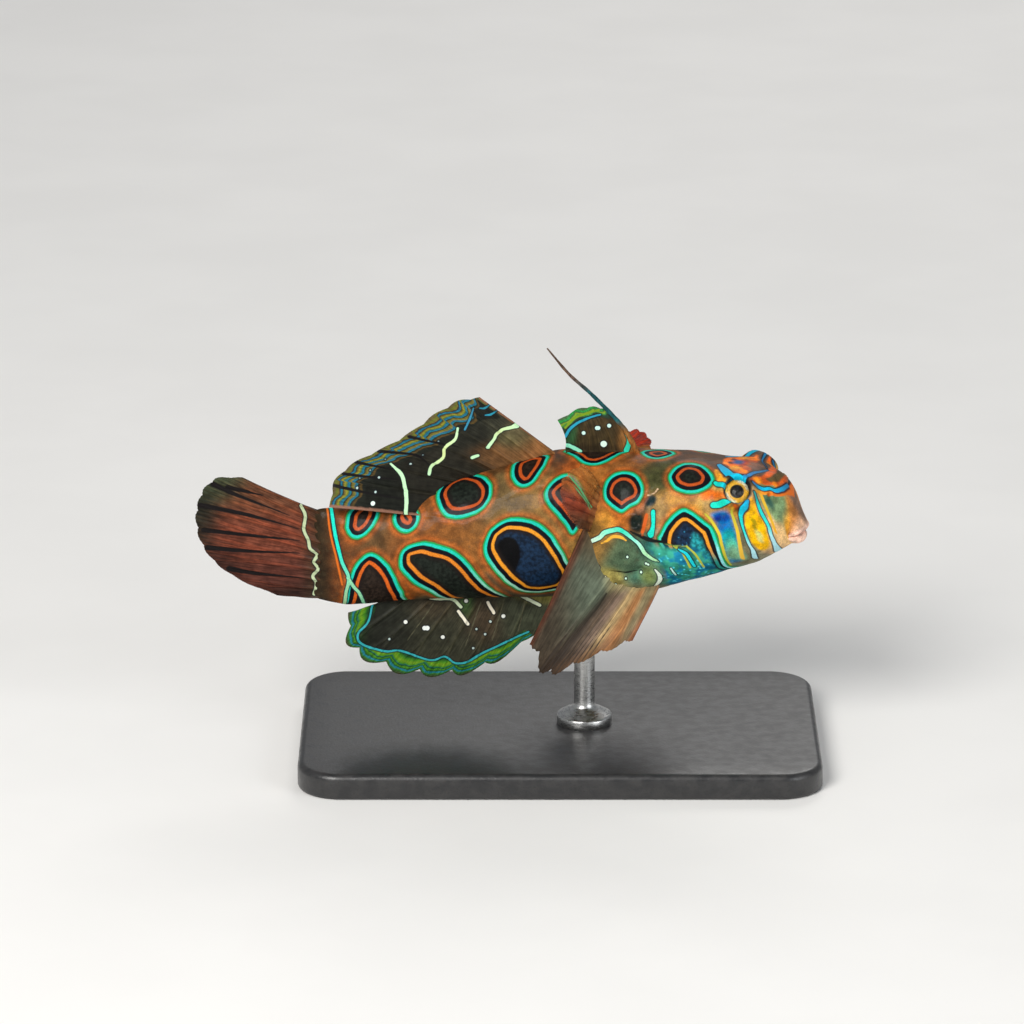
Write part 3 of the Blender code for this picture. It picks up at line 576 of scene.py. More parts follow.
# %% Marks of the face and the belly
CYAN, SKY_BLUE, DEEP_BLUE = (0.004, 0.50, 0.72), (0.02, 0.30, 0.55), (0.02, 0.20, 0.48)
TURQUOISE, MINT_WHITE, CREAM = (0.01, 0.66, 0.50), (0.60, 0.84, 0.66), (0.78, 0.72, 0.46)
GOLD, LIME, FLAME, FOLD_DARK = (0.68, 0.50, 0.03), (0.42, 0.44, 0.04), (0.72, 0.15, 0.015), (0.006, 0.008, 0.007)
WHITE, PALE = (0.70, 0.84, 0.76), (0.40, 0.70, 0.76)
TEAL_LINE = [(0.02, 0.36, 0.38), (0.012, 0.56, 0.52), (0.03, 0.62, 0.58)]
FACE_LINES = (
    ("line", ((18.6, 1.7), (19.5, 2.8), (20.5, 3.9), (21.4, 4.4), (22.0, 4.5)),
     (0.26, 0.44, 0.48, 0.42, 0.24), [SKY_BLUE, CYAN, CYAN]),
    ("line", ((21.9, 4.5), (22.2, 3.1), (22.5, 2.1), (23.1, 1.1), (23.7, -0.2)),
     (0.24, 0.2, 0.19, 0.17, 0.1), [SKY_BLUE, DEEP_BLUE, (0.015, 0.15, 0.33), (0.01, 0.11, 0.24)]),
    ("line", ((23.0, 4.0), (23.5, 3.9), (24.1, 3.7), (24.6, 3.2), (25.2, 2.8), (25.7, 1.7), (25.9, 0.5),
              (26.0, -0.9)),
     (0.19, 0.2, 0.18, 0.16, 0.14, 0.14, 0.12, 0.1), [DEEP_BLUE, CYAN, SKY_BLUE, (0.015, 0.16, 0.34)]),
    ("line", ((18.9, 5.0), (19.7, 5.6), (20.5, 5.8)), (0.2, 0.27, 0.26), [TURQUOISE, CYAN]),
    ("line", ((19.1, 7.7), (19.9, 7.7), (20.7, 7.7), (21.3, 6.9)), (0.32, 0.34, 0.26, 0.2),
     [TURQUOISE, TURQUOISE, SKY_BLUE]),
    ("line", ((22.7, 6.6), (22.6, 7.3), (22.2, 8.2), (22.1, 8.9), (22.3, 10.0), (22.6, 10.8), (22.9, 11.6),
              (23.2, 12.3), (23.2, 13.9)),
     (0.18, 0.2, 0.22, 0.19, 0.13, 0.14, 0.18, 0.21, 0.22), [SKY_BLUE, CYAN, *TEAL_LINE[1:], PALE, PALE]),
    ("line", ((23.3, 5.1), (23.6, 5.5), (23.9, 6.1), (24.2, 6.6), (24.6, 7.1), (24.9, 7.6), (25.0, 8.1),
              (25.2, 8.8), (25.4, 9.9), (25.3, 11.9)),
     (0.12, 0.15, 0.18, 0.2, 0.2, 0.18, 0.18, 0.22, 0.26, 0.26), [*TEAL_LINE, PALE, PALE]),
    ("line", ((12.3, 9.3), (12.4, 10.6), (12.3, 11.4), (12.1, 11.9)), (0.26, 0.2, 0.26, 0.42), TURQUOISE),
    ("line", ((4.0, 12.8), (5.0, 12.4), (5.7, 11.8), (6.9, 11.45), (7.8, 11.4), (8.9, 11.9), (9.9, 12.6),
              (10.5, 13.0), (11.0, 13.6), (11.4, 14.2), (12.3, 14.8), (13.1, 15.1)),
     (0.24, 0.26, 0.27, 0.26, 0.24, 0.22, 0.16, 0.2, 0.24, 0.22, 0.18, 0.08),
     [MINT_WHITE, (0.2, 0.74, 0.5), (0.02, 0.62, 0.42), (0.3, 0.78, 0.62), (0.36, 0.7, 0.4),
      (0.34, 0.62, 0.32)]),
    ("line", ((12.6, 16.3), (13.0, 17.1), (13.0, 18.0), (12.5, 19.0), (12.0, 19.7)),
     (0.1, 0.22, 0.26, 0.2, 0.08), (0.72, 0.84, 0.70)),
    ("line", ((14.5, 16.0), (14.9, 17.2)), 0.1, (0.45, 0.74, 0.66)),
    ("line", ((4.3, 15.3), (5.0, 16.1)), 0.1, (0.5, 0.52, 0.38)),
    ("line", ((15.5, 13.4), (16.3, 13.8), (16.7, 14.5), (17.1, 15.6)), (0.1, 0.18, 0.18, 0.14),
     (0.01, 0.56, 0.62)),
    ("line", ((-26.3, -0.5), (-26.0, 2.8), (-25.3, 6.4), (-24.5, 8.7), (-24.8, 10.9), (-24.9, 15.0)), 0.17,
     [TURQUOISE, TURQUOISE, (0.22, 0.60, 0.36), (0.42, 0.56, 0.26)]),
    ("line", ((-24.6, 8.6), (-24.0, 9.8), (-23.2, 11.2), (-22.6, 13.5)), 0.16, (0.25, 0.62, 0.36)),
    ("thread", ((-26.7, 0.0), (-26.5, 2.8), (-25.8, 6.4), (-25.2, 9.5)), 0.1, (0.60, 0.13, 0.012)),
    ("thread", ((18.3, 8.8), (18.85, 9.3), (19.4, 10.2), (19.85, 11.2), (20.05, 12.2), (20.25, 13.4),
                (20.45, 14.8), (20.7, 16.2)),
     (0.08, 0.13, 0.15, 0.15, 0.14, 0.12, 0.1), [LIME, GOLD, (0.52, 0.42, 0.03), LIME]),
    ("thread", ((21.1, 8.6), (21.3, 9.3), (21.5, 10.0), (21.75, 10.9), (21.9, 11.9), (22.0, 13.0),
                (22.05, 14.6)),
     (0.08, 0.14, 0.17, 0.18, 0.2, 0.2), [LIME, (0.66, 0.44, 0.03), (0.72, 0.42, 0.05)]),
    ("thread", ((23.7, 4.5), (24.0, 4.7), (24.3, 5.2), (24.6, 5.6), (24.9, 6.1), (25.2, 6.6), (25.5, 7.3)),
     0.17, [(0.74, 0.34, 0.03), (0.62, 0.42, 0.02), (0.74, 0.36, 0.02)]),
    ("thread", ((23.4, 4.7), (23.9, 4.3), (24.4, 4.0), (25.0, 3.5), (25.7, 2.4), (26.1, 0.9), (26.3, -0.5)),
     (0.14, 0.2, 0.18, 0.16, 0.18, 0.22, 0.22), [(0.76, 0.34, 0.03), (0.72, 0.17, 0.02), FLAME]),
    ("thread", ((15.0, 13.1), (15.9, 13.7), (16.4, 14.9), (16.6, 15.8)), 0.11, LIME),
    ("thread", ((16.4, 12.9), (17.2, 13.6), (17.7, 14.6), (18.0, 15.7)), 0.11, LIME),
    ("thread", ((14.0, 12.9), (15.0, 13.0), (16.2, 12.9)), 0.1, (0.16, 0.24, 0.06)),
    ("thread", ((11.5, 9.7), (11.3, 10.7), (11.0, 11.7)), 0.22, (0.56, 0.10, 0.015)),
    ("thread", ((5.2, 13.1), (6.0, 12.75), (6.9, 12.2), (8.1, 12.3), (8.9, 12.7)),
     (0.06, 0.15, 0.18, 0.17, 0.06), (0.76, 0.38, 0.04)),
    ("thread", ((9.4, 11.6), (11.0, 12.25), (12.2, 12.65), (13.6, 12.7), (14.6, 12.95)),
     (0.1, 0.2, 0.2, 0.17, 0.04), FOLD_DARK),
    # a near-black line in the crease of the pelvic pad: painted shade
    ("thread", ((6.2, 16.6), (7.7, 16.5), (9.1, 16.7), (10.5, 16.5)), (0.02, 0.09, 0.14, 0.02), FOLD_DARK),
    # a pale pinkish line on the ridge at the gill opening: painted highlight
    ("thread", ((11.4, 7.4), (12.1, 7.15), (12.6, 6.6)), 0.09, (0.62, 0.42, 0.25)),
)
FACE_FIELDS = (
    (((18.4, 2.8), (19.0, 3.2), (19.8, 4.5), (20.2, 5.3), (19.7, 5.4), (19.0, 4.6), (18.5, 3.8)),
     (0.86, 0.36, 0.02), 0.15),
    (((18.7, 0.3), (18.9, -0.5), (21.8, -0.5), (22.2, 0.4), (21.9, 1.4), (21.8, 2.4), (21.5, 3.3),
      (20.6, 2.9), (19.8, 1.9), (19.1, 1.2)), (0.80, 0.15, 0.01), 0.18),
    (((22.5, 4.0), (22.8, 2.8), (23.3, 2.3), (23.6, 1.3), (23.8, -0.8), (25.8, -0.8), (25.8, -0.2),
      (25.6, 1.1), (25.3, 2.1), (24.8, 2.5), (24.1, 3.1), (23.5, 3.2), (22.9, 3.7)), (0.64, 0.10, 0.012),
     0.14),
    (((23.9, 2.1), (24.3, 1.3), (24.5, 0.2), (24.8, -0.7), (25.3, -0.7), (25.3, 0.4), (25.2, 1.4),
      (24.6, 2.2)), (0.09, 0.06, 0.022), 0.14),
    (((17.6, 6.0), (18.6, 5.8), (19.5, 6.3), (20.3, 6.7), (20.4, 7.2), (19.6, 7.1), (18.8, 7.1),
      (17.8, 7.2)), (0.66, 0.14, 0.012), 0.3),
    (((24.3, 4.6), (25.0, 3.9), (25.6, 3.1), (26.2, 2.4), (26.4, 3.3), (26.2, 4.4), (25.8, 5.6),
      (25.4, 6.0), (25.0, 5.5), (24.6, 5.1)), (0.15, 0.24, 0.11), 0.35),
    (((23.0, 6.3), (23.4, 5.9), (23.6, 6.4), (23.9, 6.9), (24.3, 7.2), (24.6, 7.7), (24.7, 8.4),
      (24.9, 9.2), (24.8, 10.3), (24.4, 11.2), (23.9, 11.6), (23.5, 11.4), (23.1, 11.1), (22.8, 10.4),
      (22.6, 9.7), (22.5, 8.8), (22.8, 7.7)), (0.72, 0.38, 0.0), 0.2),
    (((18.9, 8.7), (19.9, 8.4), (20.7, 8.7), (21.15, 9.6), (21.35, 10.6), (21.6, 11.5), (21.65, 12.5),
      (21.7, 14.0), (21.8, 15.2), (20.8, 15.4), (20.5, 13.4), (20.2, 12.2), (20.0, 11.1), (19.7, 10.1),
      (19.3, 9.4)), (0.0, 0.15, 0.40), 0.32),
    (((9.4, 9.8), (10.6, 9.5), (11.1, 10.2), (10.7, 11.6), (9.8, 11.5), (9.2, 10.8)), (0.008, 0.014, 0.011),
     0.3),
    # a dark patch in the gill opening, in front of the pore: painted shade
    (((11.0, 7.8), (11.8, 7.3), (12.6, 7.7), (12.3, 8.5), (11.4, 8.7)), (0.010, 0.026, 0.030), 0.22),
    (((9.9, 8.7), (10.5, 7.9), (11.0, 8.3), (11.1, 9.2), (10.3, 9.6)), (0.24, 0.11, 0.055), 0.15),
)
SPOTS = (
    ((20.5, 2.0), 0.6, (0.88, 0.36, 0.02)), ((21.4, 2.5), 0.6, (0.92, 0.21, 0.0)),
    ((21.1, 0.5), 0.5, (0.52, 0.05, 0.012)), ((22.1, 0.4), 0.8, (0.24, 0.11, 0.07)),
    ((21.7, 1.5), 0.4, (0.60, 0.10, 0.02)), ((19.6, 0.7), 0.36, (0.10, 0.025, 0.015)),
    ((20.3, 0.2), 0.6, (0.035, 0.11, 0.30)), ((20.9, 1.2), 0.3, (0.34, 0.07, 0.02)),
    ((19.1, 1.0), 0.3, (0.88, 0.22, 0.02)), ((23.2, 3.0), 0.5, (0.90, 0.27, 0.01)),
    ((24.8, 4.7), 0.5, (0.03, 0.10, 0.07)), ((25.0, 2.1), 0.3, (0.80, 0.22, 0.015)),
    ((23.4, 8.2), 0.34, (0.30, 0.22, 0.0)), ((23.5, 8.8), 0.26, (0.32, 0.24, 0.0)),
    ((23.9, 9.3), 0.42, (0.44, 0.44, 0.12)), ((24.0, 9.9), 0.34, (0.46, 0.42, 0.12)),
    ((23.2, 6.3), 0.4, (0.79, 0.35, 0.013)), ((22.8, 9.4), 0.3, (0.86, 0.42, 0.005)),
    ((19.7, 9.2), 0.5, (0.001, 0.018, 0.17)), ((20.5, 9.4), 0.5, (0.001, 0.05, 0.28)),
    ((20.3, 10.4), 0.5, (0.0, 0.13, 0.42)), ((20.8, 11.6), 0.8, (0.002, 0.30, 0.31)),
    ((21.1, 12.7), 0.8, (0.06, 0.36, 0.24)), ((21.4, 14.0), 1.1, (0.16, 0.34, 0.19)),
    ((21.5, 8.2), 0.5, (0.03, 0.01, 0.003)), ((21.5, 8.2), 0.26, (0.42, 0.07, 0.004)),
    ((21.2, 8.5), 0.2, (0.55, 0.3, 0.02)), ((18.5, 8.0), 0.5, (0.50, 0.30, 0.10)),
)
BELLY_DOTS = ((8.7, 17.5), (10.8, 16.7), (9.0, 14.6), (11.5, 15.5), (11.8, 15.6), (7.2, 18.3))
print(len(FACE_LINES), "lines,", len(FACE_FIELDS), "fields")

# %% Ground colours, each named for the part of the skin that it tints
SKIN_GROUND = {
    "tail end": ((-27.6, 6), (1.0, 9), (0.035, 0.024, 0.012)),
    "tail stalk": ((-24.8, 5.5), (1.5, 6), (0.19, 0.065, 0.02)),
    "tail side": ((-21, 4.6), (2.6, 3), (0.15, 0.085, 0.036)),
    "between tail rings": ((-19.3, 9), (1.0, 5), (0.28, 0.09, 0.02)),
    "loin": ((-15.5, 4.2), (3, 3.5), (0.27, 0.10, 0.026)),
    "below the big ring": ((-11.5, 8), (3, 2), (0.34, 0.135, 0.034)),
    "side": ((-6.5, 6.2), (3, 2.4), (0.20, 0.135, 0.055)),
    "middle": ((-2.2, 7.6), (2, 3), (0.35, 0.20, 0.065)),
    "under the fin": ((-9, 0), (8, 1.0), (0.14, 0.07, 0.028)),
    "ahead of the saddle": ((-0.4, 1.6), (1.6, 1.6), (0.10, 0.052, 0.027)),
    "behind the breast fin": ((1.6, 3.6), (1.5, 1.2), (0.43, 0.11, 0.022)),
    "breast fin root": ((4.6, 5.6), (1.5, 3), (0.45, 0.17, 0.035)),
    "shoulder": ((7, 2.8), (2.6, 1.4), (0.29, 0.11, 0.03)),
    "neck": ((11.9, 4.4), (1.3, 1.7), (0.08, 0.09, 0.035)),
    "nape": ((9, 1.6), (1.4, 1), (0.26, 0.095, 0.034)),
    "crown": ((17, 0.4), (3.4, 1.1), (0.14, 0.08, 0.055)),
    "brow": ((20.5, -0.4), (1.8, 0.8), (0.10, 0.06, 0.04)),
    # the dark of the gill opening is painted shade
    "gill opening": ((10.4, 8.9), (0.8, 0.7), (0.02, 0.045, 0.05)),
    "gill cover": ((12.6, 8.6), (0.8, 1.0), (0.44, 0.30, 0.13)),
    "under the shoulder": ((8.2, 10.1), (2.2, 0.9), (0.60, 0.19, 0.028)),
    "behind the shoulder": ((6.0, 10.3), (0.9, 0.8), (0.84, 0.42, 0.06)),
    "behind the gill": ((9.9, 10.4), (0.9, 0.8), (0.10, 0.06, 0.03)),
    "cheek": ((16.3, 7.9), (2.4, 0.8), (0.62, 0.31, 0.05)),
    "cheek front": ((18.3, 7.5), (0.8, 0.9), (0.60, 0.46, 0.14)),
    "sleeve": ((4, 12.6), (1.8, 2), (0.34, 0.19, 0.05)),
    "belly pad": ((8.8, 15), (2.4, 1.7), (0.09, 0.16, 0.10)),
    "belly yellow": ((5.5, 19.5), (2, 1.5), (0.46, 0.38, 0.09)),
    "pad, green": ((13.4, 16.2), (1.0, 1.4), (0.26, 0.50, 0.27)),
    "pad, lime": ((12.0, 17.2), (0.9, 1.2), (0.36, 0.40, 0.07)),
    "pad, yellow": ((6.6, 17.2), (1.2, 0.8), (0.48, 0.42, 0.12)),
    "pad, cream": ((5.6, 18.7), (1, 0.9), (0.74, 0.64, 0.28)),
    "pad, dark": ((12.2, 13.5), (1.2, 0.7), (0.02, 0.13, 0.12)),
    "belly": ((-8, 21), (8, 2.5), (0.10, 0.085, 0.05)), "keel": ((9, 21.5), (6, 2), (0.26, 0.27, 0.17)),
    "throat": ((16, 17.2), (4, 2.0), (0.05, 0.34, 0.30)),
    "teal cheek": ((16.4, 14.4), (2.6, 1.6), (0.04, 0.46, 0.42)),
    "chin": ((22.6, 15), (2, 2), (0.25, 0.24, 0.15)), "jaw": ((25.6, 10.0), (1.0, 2.0), (0.66, 0.42, 0.20)),
    "snout, side": ((25.5, 4.0), (0.6, 1.2), (0.15, 0.24, 0.11)),
    "snout, low": ((26.1, 7.0), (0.6, 1.2), (0.72, 0.46, 0.20)),
    "snout, yellow": ((26.85, 3.7), (0.5, 1.0), (0.82, 0.36, 0.02)),
    "snout, orange": ((26.9, 2.0), (0.4, 0.9), (0.52, 0.20, 0.05)),
    "snout, top": ((26.6, 0.2), (0.5, 0.7), (0.20, 0.12, 0.08)),
    "snout, tip": ((27.3, 1.6), (0.25, 0.8), (0.68, 0.42, 0.26)),
    "snout, under": ((27.2, 5.4), (0.3, 1.5), (0.70, 0.46, 0.27)),
    "lips": ((28.4, 3.5), (0.7, 5), (0.80, 0.52, 0.40)),
    "lip front": ((28.9, 0.8), (0.5, 1.4), (0.60, 0.27, 0.22)),
    "mouth": ((30.6, 2), (0.6, 6), (0.18, 0.02, 0.015)),
}
skin_paint = fresh_paint(skin_places, SKIN_GROUND.values(), ("ring", "veil_and_socket_shade", "thread", "line"))
snout = smooth_step(skin_places[:, :1], 22.0, 26.0)
skin_paint["ground"] *= (1 - snout) * (0.68, 0.63, 0.54) + snout * (0.98, 0.98, 0.98)
for outline, tint, soft in FACE_FIELDS:
    lay_field(skin_paint, skin_places, "ground", outline, tint, soft)
for spot, radius, tint in SPOTS:
    share = 1 - smooth_step(np.hypot(*(skin_places - spot).T), radius * 0.4, radius * 1.5)
    tint_toward(skin_paint["ground"], share, tint)

# %% Lay the rings, with an orange glow round each
skin_paint["heart"] = np.zeros((len(skin_places), 3))
for name, (fire, heart, outline) in RINGS.items():
    depth = depth_inside(skin_places, outline)
    if name in FIRE_LINES:
        depth = np.minimum(depth, np.maximum(0.74, 0.84 + depth_inside(skin_places, FIRE_LINES[name])))
    skin_paint["heart"][depth > skin_paint["ring"]] = heart
    keep_deeper(skin_paint, "ring", depth, np.array(fire))
low = (smooth_step(skin_places[:, 1], 11, 18) * smooth_step(-skin_places[:, 0], -21, -15))[:, None]
skin_paint["rim"] = (1 - low) * (0.012, 0.53, 0.40) + low * (0.36, 0.70, 0.52)
pale = smooth_step(skin_places[:, 1], 11.5, 13.5) * smooth_step(skin_places[:, 0], 17, 18.5)
tint_toward(skin_paint["rim"], pale, (0.26, 0.68, 0.70))
leg = smooth_step(skin_places[:, 1], 12.4, 15.0) * smooth_step(skin_places[:, 0], 17, 18)
thinned = 0.28 * smooth_step(skin_paint["ring"], 0.34, 0.62)
thinned += 0.9 * smooth_step(skin_paint["ring"], 0.95, 1.2)
skin_paint["ring"] = skin_paint["ring"] + leg * thinned
tint_toward(skin_paint["ring_tint"], leg, (0.02, 0.24, 0.20))
CHEEK_GLINT = ((17.15, 11.2), (18.1, 11.6), (18.5, 12.3), (18.7, 13.2), (18.9, 14.7), (18.9, 16.3),
               (17.45, 16.3), (17.2, 13.8), (16.9, 12.6))
lay_field(skin_paint, skin_places, "heart", CHEEK_GLINT, (0.012, 0.20, 0.22), 0.3)
glow = smooth_step(skin_paint["ring"], -1.0, -0.1) * smooth_step(-skin_places[:, 0], -19.5, -18)
tint_toward(skin_paint["ground"], 0.62 * glow, (0.56, 0.125, 0.016))
FLANK_PUPIL = ((-7.3, 10.9), (-6.4, 9.9), (-5.1, 10.6), (-4.5, 12.3), (-4.8, 13.9), (-5.6, 15.2),
               (-6.6, 13.8))
lay_field(skin_paint, skin_places, "heart", FLANK_PUPIL, (0.0004, 0.0004, 0.0008), 0.12)
print("deepest place in a ring", skin_paint["ring"].max().round(2))

# %% Lay the lines, the fields over the rings, and the dots
for layer, knots, half_width, tint in FACE_LINES:
    lay_line(skin_paint, skin_places, layer, knots, half_width, tint)
lay_dots(skin_paint, skin_places, "line", BELLY_DOTS, 0.15, MINT_WHITE)
lay_dots(skin_paint, skin_places, "line", ((5.7, 17.4),), 0.28, CREAM)
dice = np.random.default_rng(7)
cheek_dots = np.column_stack([dice.uniform(13.2, 18.6, 46), dice.uniform(13.8, 19.5, 46)])
lay_dots(skin_paint, skin_places, "thread", cheek_dots, 0.12, (0.08, 0.60, 0.68))
beyond = far.ravel() * smooth_step(skin_places[:, 0], 19, 21) * smooth_step(-skin_places[:, 1], -5.5, -3)
skin_paint["line"] -= 0.13 * beyond
skin_paint["line_tint"] *= (1 - 0.45 * beyond)[:, None]
HEART_DOTS = ((16.1, 11.2), (16.8, 11.8), (15.5, 12.0), (16.4, 12.5), (15.9, 12.7))
lay_dots(skin_paint, skin_places, "thread", HEART_DOTS, 0.09, (0.02, 0.20, 0.36))
VEIL = ((11.9, 12.8), (13.6, 12.9), (15.0, 13.2), (16.4, 13.0), (17.4, 12.8), (18.3, 13.6), (18.9, 15.0),
        (19.4, 17.2), (19.6, 20.5), (13.6, 21.0), (13.4, 17.0), (12.4, 14.6))
edge = 0.9 + 2.6 * smooth_step(-skin_places[:, 0], -15.5, -12.5)
keep_deeper(skin_paint, "veil_and_socket_shade", depth_inside(skin_places, VEIL, 4) / edge, np.array((0.03, 0.26, 0.18)))
# Round each eye, a dark blue band over the inside of the lid is painted shade in the socket; it shares its
# layer with the teal veil.
SOCKET_SHADOW = 1.68
keep_deeper(skin_paint, "veil_and_socket_shade", SOCKET_SHADOW - from_eye.ravel(), np.array((0.002, 0.005, 0.014)))
print("paint layers:", ", ".join(skin_paint))

# %% [markdown]
# ## Materials from small steps
# Every finish below is a chain of the same few steps: read a distance or a colour kept on the points,
# compare it with two limits, and let one colour cover another. Short helpers keep each chain readable.
# Grain comes from noise in Object coordinates, so it has its true size in millimetres on every piece.

# %% Helpers for materials


def new_look(name, roughness, **settings):
    """A material with its shader, and constant values set on the shader's own sockets."""
    look = bpy.data.materials.new(name)
    look.use_nodes = True
    shader = look.node_tree.nodes["Principled BSDF"]
    shader.inputs["Roughness"].default_value = roughness
    for label, value in settings.items():
        shader.inputs[label.replace("_", " ")].default_value = value
    return look, look.node_tree, shader


def put(tree, socket, value):
    """Links another node's output, or sets a plain value."""
    if isinstance(value, bpy.types.NodeSocket):
        tree.links.new(value, socket)
    elif socket.type == "RGBA":
        socket.default_value = (*value, 1.0)
    else:
        socket.default_value = value


def read(tree, name, output="Fac"):
    """A number or a colour that is kept on the points under this name."""
    node = tree.nodes.new("ShaderNodeAttribute")
    node.attribute_name = name
    return node.outputs[output]


def maths(tree, operation, *values):
    """One operation on plain numbers or on other nodes' outputs."""
    node = tree.nodes.new("ShaderNodeMath")
    node.operation = operation
    for socket, value in zip(node.inputs, values):
        put(tree, socket, value)
    return node.outputs[0]


def step_between(tree, value, low, high, to_low=0.0, to_high=1.0):
    """A soft step from one value to another as the input passes from low to high."""
    node = tree.nodes.new("ShaderNodeMapRange")
    node.interpolation_type = "SMOOTHSTEP"
    for socket, given in zip(node.inputs, (value, low, high, to_low, to_high)):
        put(tree, socket, given)
    return node.outputs[0]


def cover(tree, below, above, share, way="MIX"):
    """One colour over another: below times one less the share, plus above times the share."""
    node = tree.nodes.new("ShaderNodeMix")
    node.data_type = "RGBA"
    node.blend_type = way
    for index, value in ((0, share), (6, below), (7, above)):
        put(tree, node.inputs[index], value)
    return node.outputs[2]


def grain(tree, size, detail=3.0, along=None, stretch=None):
    """Noise with features of this many millimetres, in Object coordinates or along a flow on the points.

    Stretch multiplies the three coordinates first, so features are longer where its number is smaller.
    """
    node = tree.nodes.new("ShaderNodeTexNoise")
    node.inputs["Detail"].default_value = detail
    if along is None:
        place = tree.nodes.new("ShaderNodeTexCoord").outputs["Object"]
        node.inputs["Scale"].default_value = 1 / (size * MM)
    else:
        place = read(tree, along, "Vector")
        node.inputs["Scale"].default_value = 1 / size
    if stretch is not None:
        mapping = tree.nodes.new("ShaderNodeMapping")
        mapping.inputs["Scale"].default_value = stretch
        tree.links.new(place, mapping.inputs["Vector"])
        place = mapping.outputs[0]
    tree.links.new(place, node.inputs["Vector"])
    return node.outputs[0]


def shade(tree, colour, noise, low, high):
    """Darkens and lightens a colour by noise, between two strengths."""
    return cover(tree, colour, step_between(tree, noise, 0.3, 0.7, low, high), 1.0, "MULTIPLY")


def raise_by(tree, shader, height, depth):
    """Bump whose full height is `depth` millimetres."""
    bump = tree.nodes.new("ShaderNodeBump")
    bump.inputs["Distance"].default_value = depth * MM
    tree.links.new(height, bump.inputs["Height"])
    tree.links.new(bump.outputs[0], shader.inputs["Normal"])


def wavering(tree, field, size, reach):
    """A distance moved to and fro by noise, so that painted edges aren't ruled."""
    moved = maths(tree, "MULTIPLY", maths(tree, "SUBTRACT", grain(tree, size, 2.0), 0.5), reach)
    return maths(tree, "ADD", read(tree, field), moved)


print("material helpers ready")

# %% [markdown]
# ## The skin's finish
# Scaleless skin is smooth and wet under a thin slime, with fine dark and light grains of pigment. The
# base gloss is moderate and a thin clear coat gives the wet highlight. The bands of a ring follow one
# another inward: a green fringe, turquoise, black, the line of fire, brown, and the heart. Each band
# starts at one depth in millimetres, is full at the next, and covers what lies below it up to its last
# number.

# %% Skin material
skin_look, tree, shader = new_look("mandarinfish skin", 0.5, Coat_Weight=0.06, Coat_Roughness=0.12,
                                   Specular_IOR_Level=0.08)
ring = wavering(tree, "ring", 0.9, 0.16)
line = wavering(tree, "line", 0.5, 0.07)
thread = wavering(tree, "thread", 0.5, 0.07)
pigment = grain(tree, 0.14, 2.0)
mottle = grain(tree, 1.1, 4.0)
colour = shade(tree, read(tree, "ground", "Color"), mottle, 0.66, 1.34)
colour = shade(tree, colour, pigment, 0.82, 1.18)
stains = step_between(tree, grain(tree, 0.6, 4.0), 0.5, 0.75, 0.0, 0.3)
colour = cover(tree, colour, (0.07, 0.055, 0.028), stains)
rim = shade(tree, read(tree, "rim", "Color"), pigment, 0.85, 1.12)
fire = shade(tree, read(tree, "ring_tint", "Color"), pigment, 0.8, 1.15)
heart = shade(tree, read(tree, "heart", "Color"), grain(tree, 0.4, 4.0), 0.5, 1.8)
RING_BANDS = {
    "olive shadow": ((0.02, 0.045, 0.012), -0.4, -0.15, 0.7),
    "green fringe": ((0.006, 0.30, 0.07), -0.16, -0.04, 1.0),
    "turquoise rim": (rim, 0.0, 0.12, 1.0),
    "teal edge": ((0.003, 0.06, 0.05), 0.32, 0.38, 1.0),
    "black": ((0.003, 0.003, 0.006), 0.36, 0.44, 1.0),
    "line of fire": (fire, 0.78, 0.9, 1.0),
    "brown edge": ((0.010, 0.006, 0.005), 1.14, 1.28, 1.0),
    "heart": (heart, 1.25, 1.9, 1.0),
}
for tint, start, full, most in RING_BANDS.values():
    colour = cover(tree, colour, tint, step_between(tree, ring, start, full, 0.0, most))
# The teal veil and the painted shade in the eye sockets share one layer, laid over the rings.
clouds = step_between(tree, grain(tree, 1.4, 3.0), 0.42, 0.6)
veil_and_socket_shade_colour = cover(tree, read(tree, "veil_and_socket_shade_tint", "Color"), (0.006, 0.15, 0.26), clouds)
veil_and_socket_shade_colour = shade(tree, veil_and_socket_shade_colour, mottle, 0.5, 1.5)
colour = cover(tree, colour, veil_and_socket_shade_colour, step_between(tree, read(tree, "veil_and_socket_shade"), -0.12, 0.3))
colour = cover(tree, colour, read(tree, "thread_tint", "Color"), step_between(tree, thread, -0.06, 0.04))
colour = cover(tree, colour, (0.006, 0.012, 0.022), step_between(tree, line, -0.2, -0.06, 0.0, 0.94))
line_colour = shade(tree, read(tree, "line_tint", "Color"), pigment, 0.86, 1.12)
colour = cover(tree, colour, line_colour, step_between(tree, line, -0.045, 0.03))
tree.links.new(colour, shader.inputs["Base Color"])
tree.links.new(step_between(tree, mottle, 0.3, 0.7, 0.46, 0.64), shader.inputs["Roughness"])
relief = maths(tree, "ADD", pigment, maths(tree, "MULTIPLY", grain(tree, 0.5, 3.0), 1.6))
raise_by(tree, shader, relief, 0.035)

# %% Skin piece, with a pole inside the tail fin's root and another deep in the mouth
skin_poles = np.stack([skin_points[0].mean(0), skin_points[-1].mean(0)])
skin_points = np.concatenate([skin_points.reshape(-1, 3), skin_poles])
for label, values in skin_paint.items():
    skin_paint[label] = np.concatenate([values, values[:1], values[-1:]])
make_piece("fish_skin", skin_points, capped_faces(ROWS, AROUND), skin_look,
           ("head", "trunk", "tail_stalk", "upper_lip", "lower_lip"), skin_paint)

# %% [markdown]
# ## Eyes with real depth
# A fish's iris is a shallow golden dish round a black pupil, under a clear dome. A painted ball would
# look flat, so the eye is two turned shapes: a ball whose front is hollowed into the dish, with the lens
# rising in the pupil, and a thin clear dome over it. Both profiles are turned round the line of sight.

# %% Turn a profile round an axis


